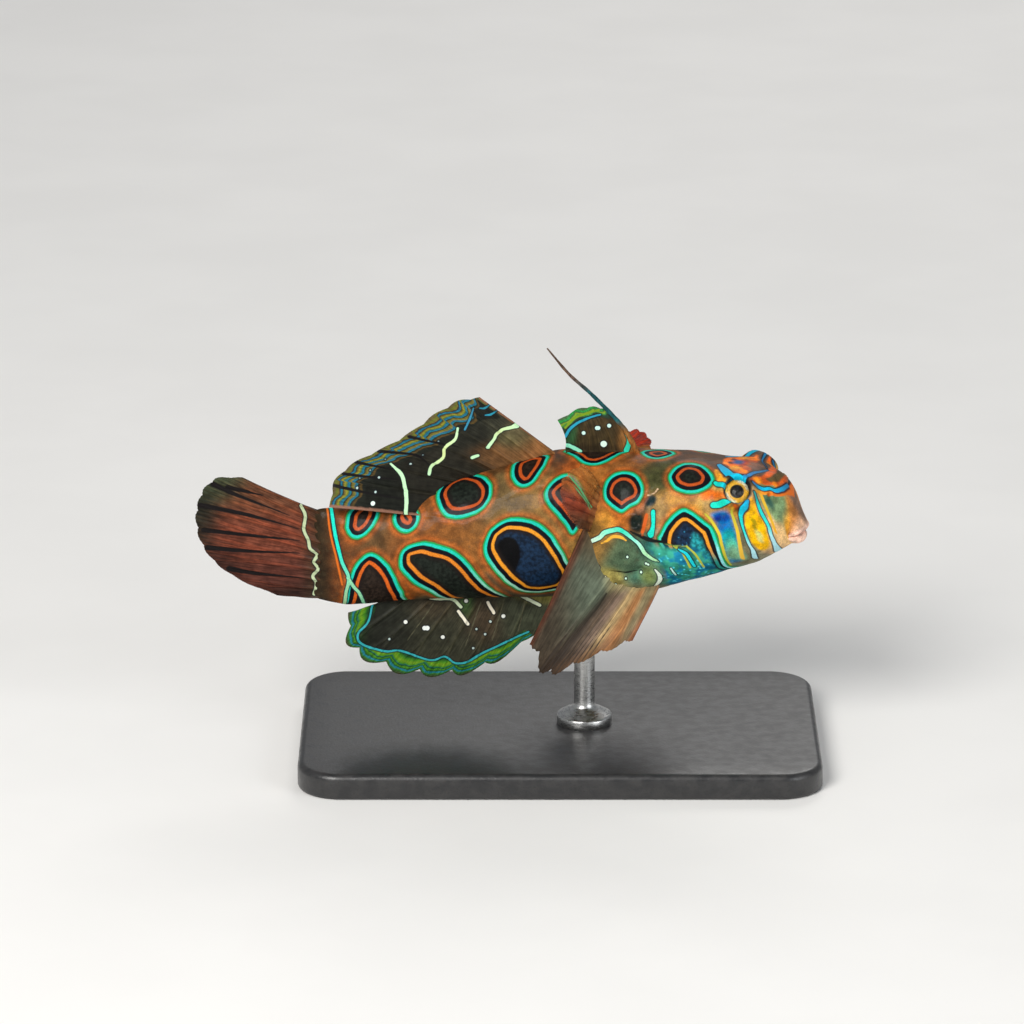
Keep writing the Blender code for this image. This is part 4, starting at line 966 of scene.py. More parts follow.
def turned(centre, axis, profile, columns=72):
    """A point of the profile at (radius, height) goes round the axis, and both its ends are poles on it."""
    axis = unit(np.asarray(axis, float))
    up = np.array((1.0, 0.0, 0.0))
    if abs(axis[2]) < 0.99:
        up = unit(np.array((0.0, 0.0, 1.0)) - axis * axis[2])
    aside = np.cross(axis, up)
    angle = np.linspace(0, 2 * math.pi, columns, endpoint=False)
    circle = np.outer(np.cos(angle), up) + np.outer(np.sin(angle), aside)
    inner = np.asarray(profile, float)[1:-1]
    rings = centre + inner[:, None, :1] * circle + inner[:, None, 1:] * axis
    poles = [centre + axis * profile[0][1], centre + axis * profile[-1][1]]
    points = np.concatenate([rings.reshape(-1, 3), poles])
    radius = np.concatenate([np.repeat(inner[:, 0], columns), (0, 0)])
    around = np.concatenate([np.tile(angle, len(inner)), (0, 0)])
    return points, capped_faces(len(inner), columns), radius, around


eye_look, tree, shader = new_look("iris and pupil", 0.22, Specular_IOR_Level=0.5)
colour = shade(tree, read(tree, "ground", "Color"), grain(tree, 0.12, 3.0), 0.7, 1.25)
tree.links.new(colour, shader.inputs["Base Color"])
tree.links.new(step_between(tree, grain(tree, 0.1), 0.3, 0.7, 0.16, 0.34), shader.inputs["Roughness"])
raise_by(tree, shader, grain(tree, 0.1, 3.0), 0.02)
clear_look, tree, shader = new_look("clear dome of the eye", 0.02, Transmission_Weight=1.0, IOR=1.12)
shader.inputs["Base Color"].default_value = (1.0, 1.0, 1.0, 1.0)
tree.links.new(step_between(tree, grain(tree, 0.6), 0.3, 0.7, 0.01, 0.05), shader.inputs["Roughness"])

# %% Eyeballs and their clear domes
BALL_RADIUS, DOME_INSIDE, DOME_OUTSIDE = 1.44, 1.42, 1.5
BALL = [(BALL_RADIUS * math.sin(a), -BALL_RADIUS * math.cos(a))
        for a in np.linspace(0, math.radians(112), 24)]
DISH = [(1.34, 0.57), (1.26, 0.61), (1.1, 0.64), (0.98, 0.66), (0.86, 0.69), (0.78, 0.72), (0.745, 0.71),
        (0.725, 0.67), (0.715, 0.6), (0.70, 0.56), (0.66, 0.6), (0.55, 0.68), (0.4, 0.76), (0.2, 0.81),
        (0.0, 0.82)]
DOME = [(0.0, 1.41)]
DOME += [(DOME_INSIDE * math.sin(a), DOME_INSIDE * math.cos(a))
         for a in np.radians(np.linspace(6, 66, 11))]
DOME += [(DOME_OUTSIDE * math.sin(a), DOME_OUTSIDE * math.cos(a))
         for a in np.radians(np.linspace(66, 5, 16))]
DOME += [(0.0, DOME_OUTSIDE)]
IRIS_GOLD, IRIS_CREAM, IRIS_BROWN = (0.80, 0.42, 0.02), (0.88, 0.86, 0.62), (0.16, 0.06, 0.01)
PUPIL_BLACK, BALL_NAVY = (0.002, 0.002, 0.003), (0.01, 0.012, 0.02)
for name, side in (("right", 1), ("left", -1)):
    centre, out = eye_place(side)
    points, faces, radius, angle = turned(centre, out, BALL + DISH)
    front = (points - centre) @ out > 0.5
    leaning = np.cos(2 * (angle + side * math.radians(45)))
    tint = np.tile(IRIS_GOLD, (len(points), 1))
    tint_toward(tint, smooth_step(radius, 0.96, 1.2) * smooth_step(leaning, -0.1, 0.6), IRIS_CREAM)
    tint_toward(tint, 1 - smooth_step(radius, 0.74, 0.86), IRIS_BROWN)
    tint[(radius < 0.755) | ~front] = PUPIL_BLACK
    tint[(radius > 1.3) & ~front] = BALL_NAVY
    make_piece(f"eye_{name}_ball", points, faces, eye_look, (f"eye_{name}",), {"ground": tint})
    points, faces, _, _ = turned(centre, out, DOME)
    make_piece(f"eye_{name}_dome", points, faces, clear_look, (f"eye_{name}",))

# %% [markdown]
# ## Fins as webs with branching rays
# A fin is a thin web between rays. Its middle surface runs from a root line to the ray tips; the web is
# given a small thickness on both sides, and along each ray the thickness swells into a ridge. Soft rays
# fork on their way out, as real ones do, so the ridges split too. The web bows gently to and fro between
# rays, and its margin dips between them. One function makes all eight fins from their roots and tips.

# %% The form of a fin
FORK_REACH, STREAK_DRAW = (0.3, 0.16), 0.09


def fin_form(roots, tips, bow, scallop, sink, swell=0.4, web=0.2, ray_size=0.26, forks=(0.45, 0.78),
             pleat=0.12, columns=22, rows=96, fray=0.0):
    """Middle = root to tip by share, plus the bow by four times share times one less share.

    Half the thickness = half the web + ray size by a bell across each ray branch, both thinner toward the
    tip, plus a swelling at the root. The pleat moves the web aside by a sine of the ray number. The root
    lies deeper than the skin by `sink`. A ray parts in two, and again, from the shares in `forks`.
    """
    gaps = len(roots) - 1
    ray = np.linspace(0, gaps, gaps * columns + 1)[:, None]
    along = np.linspace(0, 1, rows)[None, :]
    root, tip = open_value(np.array(roots, float), ray), open_value(np.array(tips, float), ray)
    reach = np.linalg.norm(tip - root, axis=-1, keepdims=True)
    start = -sink / reach
    dip = scallop * (1 - np.abs(np.cos(math.pi * ray)))
    reached = (1 - dip - fray * np.abs(np.sin(5 * math.pi * ray)))[..., None]
    share = start + (reached - start) * along[..., None]
    clipped = np.clip(share, 0, 1)
    middle = root + (tip - root) * share + np.array(bow) * 4 * clipped * (1 - clipped)
    face = unit(np.cross(np.gradient(middle, axis=0), np.gradient(middle, axis=1)))
    pleated = face * pleat * clipped * np.sin(math.pi * ray)[..., None]
    middle = middle + pleated * np.cos(2.3 * ray + 1)[..., None]
    gap_width = np.linalg.norm(np.gradient(middle, axis=0), axis=-1) * columns
    ridge = np.zeros(gap_width.shape)
    first, second = (smooth_step(clipped[..., 0], f, 1.15) for f in forks) if forks else (0, 0)
    for k in range(gaps + 1):
        for one in (-1, 1):
            for two in (-1, 1):
                branch = k + one * FORK_REACH[0] * first + two * FORK_REACH[1] * second
                across = (ray - branch) * gap_width
                width = ray_size * (1 - 0.45 * along) * (1 - 0.25 * np.minimum(first * 3, 1))
                ridge = np.maximum(ridge, np.exp(-((across / width) ** 2)))
    inner = np.sin(math.pi * np.clip(ray / gaps, 0.04, 0.96))
    half = web / 2 * (1 - 0.6 * along) + ray_size * 0.8 * ridge * (1 - 0.75 * along)
    half = half + swell / 2 * inner * np.clip(1 - clipped[..., 0] / 0.3, 0, 1) ** 2
    half = half * (1 - 0.6 * smooth_step(along, 0.97, 1.0))
    return {
        "front": middle + face * half[..., None], "back": middle - face * half[..., None], "ridge": ridge,
        "ray": np.broadcast_to(ray, ridge.shape), "share": share[..., 0], "middle": middle,
        "margin": ((reached - share) * reach)[..., 0], "reach": np.broadcast_to(reach[..., 0], ridge.shape),
        "gap": gap_width,
    }


def make_fin(name, form, look, node, paint):
    """Front and back grids joined round the rim, with the same paint on both.

    The flow that carries the streaks is the ray's number times the mean gap, and the length along the ray
    times a small number, which draws the streaks out.
    """
    wide, tall = form["ridge"].shape
    points = np.concatenate([form["front"].reshape(-1, 3), form["back"].reshape(-1, 3)])
    front = grid_faces(wide, tall)
    number = np.arange(wide * tall).reshape(wide, tall)
    rim = np.concatenate([number[:-1, 0], number[-1, :-1], number[:0:-1, -1], number[0, :0:-1]])
    after = np.roll(rim, -1)
    other = wide * tall
    sides = np.stack([rim, after, after + other, rim + other], -1)
    along = form["share"] * form["reach"] * STREAK_DRAW
    flow = np.stack([form["ray"] * form["gap"].mean(), along, 0 * form["ray"]], -1)
    kept = {**paint, "ridge": form["ridge"].ravel(), "flow": flow.reshape(-1, 3)}
    kept = {label: np.concatenate([values, values]) for label, values in kept.items()}
    make_piece(name, points, [front, front[:, ::-1] + other, sides], look, (node,), kept)


def outline_roots(outline, stations):
    """The body's axis and the height of its back or belly at each station."""
    return [(x, float(axis_y(x)), float(through(outline, x))) for x in stations]


def seen_flat(form):
    """Places on a fin that stands along the body: millimetres forward and up."""
    return form["middle"].reshape(-1, 3)[:, [0, 2]]


def seen_spread(form):
    """Places on a fin that spreads aside: the ray's number and the share of its length."""
    return np.stack([form["ray"].ravel(), form["share"].ravel()], 1)


print("fin form ready")

# %% [markdown]
# ## The fins' finish
# A fin's colour lies in its web, while the rays show as paler or darker threads. Fine streaks run along
# the rays, so their noise is read along a flow that is kept on the points and drawn out lengthwise. Bands
# that follow the margin come from the distance to it, through a row of colour stops.

# %% A material for fins


def fin_look(name, ray_tint, ray_share, streak=(0.4, 0.95), bands=None, clear=None, cloud=(0.75, 1.25),
             fineness=0.2):
    """The web's colour, streaks, bands along the margin, then threads and outlined lines over them."""
    look, tree, shader = new_look(name, 0.5, Coat_Weight=0.03, Coat_Roughness=0.25, Specular_IOR_Level=0.08)
    fine = grain(tree, fineness, 4.0, "flow")
    colour = shade(tree, read(tree, "ground", "Color"), fine, *streak)
    colour = shade(tree, colour, grain(tree, 0.9, 3.0), *cloud)
    colour = cover(tree, colour, ray_tint, maths(tree, "MULTIPLY", read(tree, "ridge"), ray_share),
                   "MULTIPLY")
    if bands:
        place = maths(tree, "MULTIPLY", wavering(tree, "margin", 0.8, 0.5), 1 / bands[-1][0])
        ramp = tree.nodes.new("ShaderNodeValToRGB")
        tree.links.new(place, ramp.inputs[0])
        stops = ramp.color_ramp.elements
        while len(stops) < len(bands):
            stops.new(0.5)
        for stop, (at, tint) in zip(stops, bands):
            stop.position = at / bands[-1][0]
            stop.color = (*tint, 1.0)
        banded = shade(tree, ramp.outputs[0], fine, 0.75, 1.25)
        colour = cover(tree, colour, banded, step_between(tree, read(tree, "banded"), 0.3, 0.7))
    thread = wavering(tree, "thread", 0.5, 0.1)
    colour = cover(tree, colour, read(tree, "thread_tint", "Color"),
                   step_between(tree, thread, -0.06, 0.05))
    line = wavering(tree, "line", 0.5, 0.1)
    colour = cover(tree, colour, (0.008, 0.01, 0.012), step_between(tree, line, -0.2, -0.05, 0.0, 0.85))
    colour = cover(tree, colour, read(tree, "line_tint", "Color"), step_between(tree, line, -0.04, 0.03))
    tree.links.new(colour, shader.inputs["Base Color"])
    tree.links.new(step_between(tree, fine, 0.3, 0.7, 0.42, 0.62), shader.inputs["Roughness"])
    joints = maths(tree, "MULTIPLY", read(tree, "ridge"), grain(tree, 0.25, 1.0))
    raise_by(tree, shader, maths(tree, "ADD", fine, joints), 0.05)
    if clear is not None:
        kept = maths(tree, "MAXIMUM", read(tree, "solid"),
                     step_between(tree, fine, 0.3, 0.7, clear, clear + 0.2))
        tree.links.new(kept, shader.inputs["Alpha"])
    return look


MINT, DARK_RAY, SKY = (0.50, 0.80, 0.48), (0.006, 0.005, 0.005), (0.012, 0.09, 0.17)
print("fin material ready")

# %% [markdown]
# ## The second dorsal fin
# This sail is dark, with pale zigzags and dots. Near its margin, stripes of blue, olive and brown follow
# the edge. They break at each ray, because the web is folded there. The last two roots leave the back and
# step down the side.

# %% Second dorsal fin
SECOND_DORSAL_TIPS = ((-9.2, 0.0, 42.4), (-11.7, -0.1, 42.0), (-14.5, -0.3, 40.4), (-17.2, -0.6, 38.4),
                      (-20.2, -1.0, 36.7), (-23.5, -1.8, 35.2), (-25.8, -2.8, 33.3), (-26.4, -3.8, 30.4))
SECOND_DORSAL_GROUND = {
    "front": ((-2.2, 36.6), (2.2, 1.2), (0.30, 0.13, 0.045)),
    "front edge": ((-4.4, 38.6), (1.4, 1.0), (0.15, 0.12, 0.06)),
    "front middle": ((-5.0, 37.4), (1.6, 1.0), (0.11, 0.10, 0.045)),
    "front base": ((-7.0, 35.8), (2.2, 0.9), (0.17, 0.08, 0.03)),
    "upper front": ((-7.2, 39.9), (1.4, 1.2), (0.045, 0.045, 0.03)),
    "middle": ((-10.5, 38.6), (2.4, 2.4), (0.020, 0.020, 0.014)),
    "base": ((-12.5, 34.9), (2.5, 1.0), (0.022, 0.020, 0.014)),
    "rear base": ((-16.5, 33.2), (1.6, 1.6), (0.018, 0.016, 0.011)),
    "rear": ((-20.5, 32.5), (3, 2.5), (0.010, 0.011, 0.008)),
    "peak": ((-8.4, 41.4), (1.1, 0.7), (0.10, 0.12, 0.03)),
}
sail_roots = outline_roots(BACK, np.linspace(-0.6, -16.8, 8))
for k, (x, angle) in {6: (-14.9, 16), 7: (-17.4, 40)}.items():
    sail_roots[k] = tuple(body_place(x, math.radians(angle))[0])
form = fin_form(sail_roots, SECOND_DORSAL_TIPS, (0, -0.5, 0.2), 0.025, 1.2, columns=24, rows=110)
places = seen_flat(form)
paint = fresh_paint(places, SECOND_DORSAL_GROUND.values(), ("thread", "line"))
ray, margin = form["ray"].ravel(), form["margin"].ravel()
fold = ray - np.floor(ray)
paint["margin"] = margin + 0.5 * (fold - 0.5) + 0.22 * np.sin(2 * math.pi * ray * 1.2 + 0.6)
paint["margin"] += 3.0 * np.maximum(1.2 - ray, 0)
paint["banded"] = smooth_step(ray, 0.12, 0.3) * smooth_step(-margin, -4.4, -3.2)
for knots in (((-25.9, 32.8), (-17.7, 31.0)), ((-24.8, 34.0), (-18.1, 33.1)),
              ((-23.4, 35.2), (-19.2, 34.3)), ((-20.8, 36.3), (-16.3, 35.7), (-14.3, 33.6)),
              ((-17.3, 37.9), (-11.7, 36.7))):
    lay_line(paint, places, "thread", knots, (0.18, 0.05), DARK_RAY)
lay_line(paint, places, "thread", ((-0.8, 36.2), (-4.5, 39.0), (-9.2, 42.3)), 0.14, (0.20, 0.09, 0.045))
last_ray = len(SECOND_DORSAL_TIPS) - 1
keep_deeper(paint, "thread", 0.12 - np.abs(last_ray - ray) * 1.2, np.array((0.24, 0.12, 0.08)))
lay_line(paint, places, "line", ((-5.0, 39.2), (-5.5, 39.0), (-6.6, 38.7), (-7.3, 38.1), (-7.6, 37.5),
                                 (-8.3, 36.6)),
         (0.34, 0.2, 0.16, 0.18, 0.16, 0.2), [MINT, (0.56, 0.70, 0.34), MINT])
lay_line(paint, places, "line", ((-11.7, 38.9), (-12.0, 37.6), (-13.2, 36.6), (-13.4, 35.4), (-14.7, 34.5),
                                 (-15.0, 33.5)),
         (0.12, 0.16, 0.17, 0.16, 0.18), [MINT, (0.60, 0.70, 0.30), MINT])
lay_line(paint, places, "line", ((-19.4, 34.9), (-18.2, 33.7), (-17.8, 32.4), (-17.6, 31.0), (-17.7, 29.4)),
         (0.1, 0.2, 0.2, 0.22, 0.2), MINT)
lay_line(paint, places, "line", ((-10.1, 35.4), (-9.4, 35.6)), 0.17, MINT)
lay_line(paint, places, "line", ((-9.9, 41.2), (-10.3, 40.0), (-10.9, 38.7)), (0.07, 0.12, 0.1),
         (0.035, 0.22, 0.34))
lay_line(paint, places, "line", ((-8.6, 40.4), (-7.9, 40.5), (-7.2, 40.9)), (0.06, 0.11, 0.05),
         (0.02, 0.24, 0.34))
lay_line(paint, places, "line", ((-9.2, 41.2), (-8.6, 41.2), (-8.0, 41.6)), (0.06, 0.11, 0.05),
         (0.02, 0.20, 0.28))
lay_dots(paint, places, "line", ((-17.1, 34.8), (-20.7, 33.5), (-21.1, 32.0), (-23.2, 32.5)), 0.13,
         (0.42, 0.55, 0.52))
lay_dots(paint, places, "line", ((-15.7, 35.8), (-21.7, 34.3), (-22.9, 33.5), (-13.9, 37.4), (-20.0, 35.4)),
         0.1, (0.20, 0.30, 0.30))
lay_dots(paint, places, "line", ((-21.4, 30.8),), 0.24, WHITE)
OLIVE, RUST = (0.10, 0.12, 0.015), (0.12, 0.09, 0.02)
INK, SEA = (0.012, 0.014, 0.010), (0.012, 0.15, 0.20)
SAIL_BANDS = (
    (0.0, (0.09, 0.07, 0.025)), (0.3, OLIVE), (0.5, RUST), (0.62, INK), (0.74, SKY), (0.88, SEA),
    (0.98, INK), (1.12, RUST), (1.3, (0.22, 0.20, 0.02)), (1.5, (0.06, 0.12, 0.02)), (1.6, SKY), (1.8, SEA),
    (1.92, INK), (2.08, RUST), (2.3, (0.15, 0.14, 0.02)), (2.5, SKY), (2.66, SEA), (2.8, INK),
    (3.1, (0.08, 0.05, 0.015)), (3.3, INK), (4.2, (0.01, 0.011, 0.008)),
)
sail_look = fin_look("second dorsal web", (1.35, 1.3, 1.2), 0.6, streak=(0.6, 1.0), bands=SAIL_BANDS)
make_fin("second_dorsal_web", form, sail_look, "second_dorsal_fin", paint)

# %% [markdown]
# ## The anal fin
# Below the tail hangs a dark lobe with a bright green border, a turquoise line inside it, and short blue
# arcs that repeat the scallops of the margin.

# %% Anal fin
ANAL_TIPS = ((-2.4, -0.2, 14.1), (-6.9, -0.3, 10.6), (-11.1, -0.5, 8.9), (-14.9, -0.7, 8.7),
             (-18.8, -0.9, 9.2), (-22.6, -1.2, 10.9), (-24.7, -1.5, 13.2), (-24.4, -1.5, 16.9))
ANAL_GROUND = {
    "middle": ((-13, 15), (4, 3), (0.036, 0.036, 0.022)),
    "brown cloud": ((-9, 15.5), (1.8, 1.6), (0.07, 0.045, 0.026)),
    "second cloud": ((-14.5, 17), (1.6, 1.2), (0.06, 0.042, 0.024)),
    "front": ((-5, 16), (2, 2), (0.045, 0.05, 0.03)),
    "rear": ((-20, 14.5), (2.5, 2.5), (0.017, 0.018, 0.013)),
    "yellow base": ((-3.0, 18.9), (1.4, 0.7), (0.40, 0.36, 0.10)),
    "green base": ((-10.8, 17.4), (0.6, 1.2), (0.05, 0.12, 0.03)),
    "rear border": ((-23.6, 16.4), (1.0, 2.6), (0.02, 0.05, 0.014)),
}
anal_roots = outline_roots(BELLY, np.linspace(-0.6, -20.4, 8))
form = fin_form(anal_roots, ANAL_TIPS, (0, -0.4, 0), 0.1, 1.2, columns=24, rows=96)
places = seen_flat(form)
paint = fresh_paint(places, ANAL_GROUND.values(), ("thread", "line"))
BORDER = ((-21.6, 18.0), (-22.1, 15.8), (-23.3, 14.3), (-22.8, 13.0), (-20.2, 12.1), (-18.4, 12.1),
          (-15.0, 10.9), (-13.3, 11.3), (-12.1, 10.5), (-10.7, 10.6), (-9.2, 11.5), (-7.6, 12.3),
          (-5.8, 13.2), (-3.6, 14.2))
outside = BORDER + ((-2.0, 10.0), (-10.0, 5.0), (-20.0, 6.0), (-27.0, 10.0), (-27.0, 18.0))
ray, margin = form["ray"].ravel(), form["margin"].ravel()
paint["margin"] = margin + 0.35 * np.abs(np.sin(math.pi * ray))
paint["banded"] = 0.5 + depth_inside(places, outside, 4)
lay_line(paint, places, "line", BORDER, (0.1, 0.13, 0.1, 0.13, 0.1), (0.03, 0.33, 0.36))
ANAL_DASHES = (
    (((-15.6, 18.4), (-14.0, 18.2), (-12.4, 18.1), (-11.4, 17.2)), (0.56, 0.66, 0.44)),
    (((-11.7, 16.7), (-10.6, 15.2)), (0.74, 0.70, 0.56)),
    (((-8.3, 17.7), (-7.6, 16.5)), (0.72, 0.66, 0.52)),
    (((-5.4, 19.0), (-3.9, 18.2), (-2.3, 17.4)), (0.7, 0.78, 0.56)),
)
for knots, tint in ANAL_DASHES:
    lay_line(paint, places, "line", knots, 0.17, tint)
lay_dots(paint, places, "line", ((-17.8, 15.6), (-13.5, 13.7), (-6.5, 16.1), (-10.8, 17.9)), 0.22,
         (0.7, 0.72, 0.66))
lay_dots(paint, places, "line", ((-15.6, 14.8), (-15.3, 14.8)), 0.26, (0.74, 0.78, 0.74))
lay_dots(paint, places, "line", ((-19.7, 13.6), (-9.6, 14.6), (-8.0, 15.5), (-8.6, 14.0), (-10.0, 12.3)),
         0.13, (0.42, 0.52, 0.48))
for knots in (((-14.6, 17.6), (-17.6, 13.4)), ((-9.1, 17.8), (-10.9, 12.6)), ((-6.3, 18.4), (-7.8, 13.2)),
              ((-4.0, 17.9), (-4.8, 14.2))):
    lay_line(paint, places, "thread", knots, 0.05, (0.09, 0.085, 0.05))
LEAF, MOSS, LAGOON = (0.05, 0.19, 0.012), (0.010, 0.060, 0.014), (0.014, 0.15, 0.19)
HEM_BANDS = (
    (0.0, (0.06, 0.05, 0.025)), (0.35, (0.03, 0.07, 0.02)), (0.6, (0.03, 0.14, 0.02)), (0.72, LAGOON),
    (0.86, LAGOON), (0.95, MOSS), (1.2, LEAF), (1.35, MOSS), (1.45, (0.012, 0.10, 0.08)), (1.6, LEAF),
    (1.9, (0.12, 0.24, 0.012)), (2.3, LEAF), (2.7, MOSS), (5.0, (0.02, 0.06, 0.015)),
)
anal_look = fin_look("anal web", (1.5, 1.45, 1.3), 0.6, streak=(0.6, 1.0), bands=HEM_BANDS)
make_fin("anal_web", form, anal_look, "anal_fin", paint)

# %% [markdown]
# ## The tail fin
# Nine soft panels between ten rays make the tail fin. Its rays are brick red and the web between them is
# almost black, and the upper rear corner turns green. A pale zigzag crosses its root.

# %% Tail fin
CAUDAL_TIPS = ((-36.3, -3.2, 33.8), (-39.0, -3.5, 33.9), (-40.6, -3.8, 32.8), (-41.4, -4.0, 31.1),
               (-41.7, -4.1, 29.2), (-41.4, -4.1, 27.0), (-40.5, -4.0, 25.0), (-38.9, -3.7, 23.1),
               (-36.4, -3.3, 21.3), (-32.6, -2.8, 19.5))
CAUDAL_GROUND = {
    "root": ((-27.6, 24), (1.4, 8), (0.045, 0.03, 0.015)),
    "upper": ((-33.5, 31), (3.5, 2), (0.15, 0.06, 0.03)),
    "middle": ((-34, 26.5), (5, 3), (0.20, 0.055, 0.03)),
    "lower": ((-33, 22), (4, 2), (0.10, 0.032, 0.022)),
    "upper rear": ((-39, 33.0), (2.2, 1.6), (0.05, 0.065, 0.035)),
    "rear": ((-41.0, 29), (1.6, 3), (0.016, 0.022, 0.015)),
    "lower rear": ((-38.8, 23.6), (2.2, 2), (0.022, 0.012, 0.01)),
    "bottom": ((-31, 19.6), (3, 0.8), (0.03, 0.014, 0.010)),
}
root_x = STALK_END - 0.3
top, bottom = float(through(BACK, root_x)) - 0.4, float(through(BELLY, root_x)) + 0.4
caudal_roots = [(root_x, float(axis_y(root_x)), z) for z in np.linspace(top, bottom, len(CAUDAL_TIPS))]
form = fin_form(caudal_roots, CAUDAL_TIPS, (0, 0.5, -0.3), 0.018, 0.0, swell=1.75, web=0.3, ray_size=0.24,
                forks=(0.2, 0.5), columns=20, rows=110, fray=0.003)
places = seen_flat(form)
paint = fresh_paint(places, CAUDAL_GROUND.values(), ("thread", "line"))
TAIL_STREAKS = (
    ((-39.6, 33.1), (-36.8, 31.5), (-31.0, 28.8)), ((-41.1, 30.7), (-35.7, 29.1), (-30.0, 27.2)),
    ((-40.8, 27.7), (-35.7, 26.7), (-29.9, 25.8)), ((-40.4, 25.6), (-35.7, 24.8), (-29.9, 24.3)),
    ((-38.0, 22.9), (-34.5, 22.0), (-28.8, 21.2)), ((-38.0, 32.6), (-34.0, 31.4)),
)
for knots in TAIL_STREAKS:
    lay_line(paint, places, "thread", knots, (0.3, 0.2, 0.04), (0.008, 0.006, 0.006))
ZIGZAG = ((-29.7, 30.0), (-29.2, 28.8), (-29.4, 27.2), (-28.9, 26.0), (-28.7, 25.0), (-27.9, 24.3),
          (-28.3, 23.4), (-27.8, 22.6), (-28.4, 21.6), (-28.0, 20.7), (-28.3, 19.3))
lay_line(paint, places, "line", ZIGZAG, 0.17, (0.42, 0.50, 0.30))
tail_look = fin_look("tail web", (1.6, 1.3, 1.1), 0.8, streak=(0.4, 0.95))
make_fin("tail_web", form, tail_look, "caudal_fin", paint)

# %% [markdown]
# ## The first dorsal fin and its long spine
# The small sail ahead is a display flag. Its first spine is drawn out to a thread that is orange at the
# root, teal in the middle and brown at the tip, and the web behind it has bright dots and a green margin.

# %% First dorsal fin
FIRST_DORSAL_ROOTS = [(x, -0.3, 36.2) for x in (8.6, 6.2, 3.4, 0.6)]
FIRST_DORSAL_TIPS = ((5.1, -0.3, 41.1), (3.8, -0.35, 41.4), (2.0, -0.3, 41.1), (-0.3, -0.1, 39.7))
FLAG_GROUND = {
    "web": ((4.6, 38), (1.8, 1.5), (0.05, 0.034, 0.014)),
    "front": ((7.8, 37.4), (0.8, 1.6), (0.30, 0.13, 0.035)),
    "foot": ((4, 36.2), (2.5, 0.6), (0.035, 0.024, 0.012)),
    "rear": ((1.0, 38.6), (0.6, 1.6), (0.02, 0.07, 0.025)),
}
form = fin_form(FIRST_DORSAL_ROOTS, FIRST_DORSAL_TIPS, (0.4, -0.3, 0), 0.03, 1.2, forks=None, columns=40,
                rows=80)
places = seen_flat(form)
paint = fresh_paint(places, FLAG_GROUND.values(), ("thread", "line"))
ray, margin = form["ray"].ravel(), form["margin"].ravel()
paint["margin"] = margin + 0.15 * np.sin(math.pi * ray * 2)
paint["banded"] = smooth_step(-margin, -1.5, -1.2) * smooth_step(ray, 0.12, 0.3)
lay_line(paint, places, "line", ((0.6, 37.9), (1.3, 38.9), (2.8, 39.9), (4.6, 40.5)),
         (0.16, 0.15, 0.12, 0.08), (0.02, 0.28, 0.40))
lay_line(paint, places, "line", ((7.6, 36.2), (7.9, 37.4), (7.3, 38.7)), (0.3, 0.24, 0.08),
         (0.03, 0.62, 0.42))
lay_line(paint, places, "line", ((0.2, 37.1), (1.4, 36.6), (2.3, 36.1)), 0.22, (0.25, 0.72, 0.5))
lay_line(paint, places, "thread", ((0.6, 38.9), (1.7, 40.0), (3.0, 40.6), (4.4, 41.0)), 0.13,
         (0.16, 0.26, 0.012))
lay_dots(paint, places, "line", ((2.7, 38.3), (4.4, 38.9), (4.2, 38.9), (5.6, 39.2)), 0.21,
         (0.55, 0.78, 0.70))
lay_dots(paint, places, "line", ((5.0, 37.0),), 0.36, (0.66, 0.84, 0.74))
FLAG_BANDS = ((0.0, (0.05, 0.10, 0.04)), (0.22, (0.02, 0.26, 0.05)), (0.4, (0.03, 0.10, 0.03)),
              (0.52, (0.20, 0.30, 0.02)), (0.72, (0.04, 0.20, 0.04)), (0.9, (0.02, 0.05, 0.03)),
              (1.6, (0.02, 0.02, 0.012)))
flag_look = fin_look("first dorsal web", (1.4, 1.3, 1.15), 0.6, streak=(0.6, 1.1), bands=FLAG_BANDS)
make_fin("first_dorsal_web", form, flag_look, "first_dorsal_fin", paint)

# %% The long spine
LONG_SPINE = ((9.0, -0.5, 35.6), (7.6, -0.5, 38.3), (6.1, -0.4, 40.2), (3.4, -0.3, 43.0), (1.0, -0.2, 45.2),
              (-1.5, 0.0, 48.2))


def swept(path, radii, flat=1.0, around=20):
    """Rings square to a path, each with its own radius, flattened by a share, and a pole at each end."""
    run = unit(np.gradient(path, axis=0))
    across = unit(np.cross(run, (0.0, 0.0, 1.0)))
    over = np.cross(across, run)
    turn = np.linspace(0, 2 * math.pi, around, endpoint=False)[None, :, None]
    ring = np.cos(turn) * across[:, None] + flat * np.sin(turn) * over[:, None]
    rings = path[:, None] + radii[:, None, None] * ring
    return np.concatenate([rings.reshape(-1, 3), path[:1], path[-1:]]), capped_faces(len(path), around)


path = open_line(np.array(LONG_SPINE), 16)
share = np.linspace(0, 1, len(path))
radii = np.interp(share, (0, 0.3, 0.85, 1), (0.46, 0.34, 0.2, 0.1)) * (1 + 0.06 * np.sin(60 * share))
points, faces = swept(path, radii, 0.8, 24)
SPINE_HEIGHTS = (36, 38.6, 39.8, 43.2, 44.8, 48.2)
SPINE_TINTS = np.array(((0.42, 0.14, 0.03), (0.30, 0.13, 0.035), (0.02, 0.13, 0.14), (0.02, 0.10, 0.11),
                        (0.18, 0.11, 0.08), (0.13, 0.08, 0.05)))
spine_tint = np.stack([np.interp(points[:, 2], SPINE_HEIGHTS, column) for column in SPINE_TINTS.T], 1)
blank = np.full(len(points), NO_MARK)
spine_paint = {"ground": spine_tint, "ridge": np.zeros(len(points)), "thread": blank, "line": blank,
               "flow": points * (1.0, 1.0, 0.25)}
spine_look = fin_look("long spine", (1.0, 1.0, 1.0), 0.0)
make_piece("long_spine", points, faces, spine_look, ("first_dorsal_fin",), spine_paint)

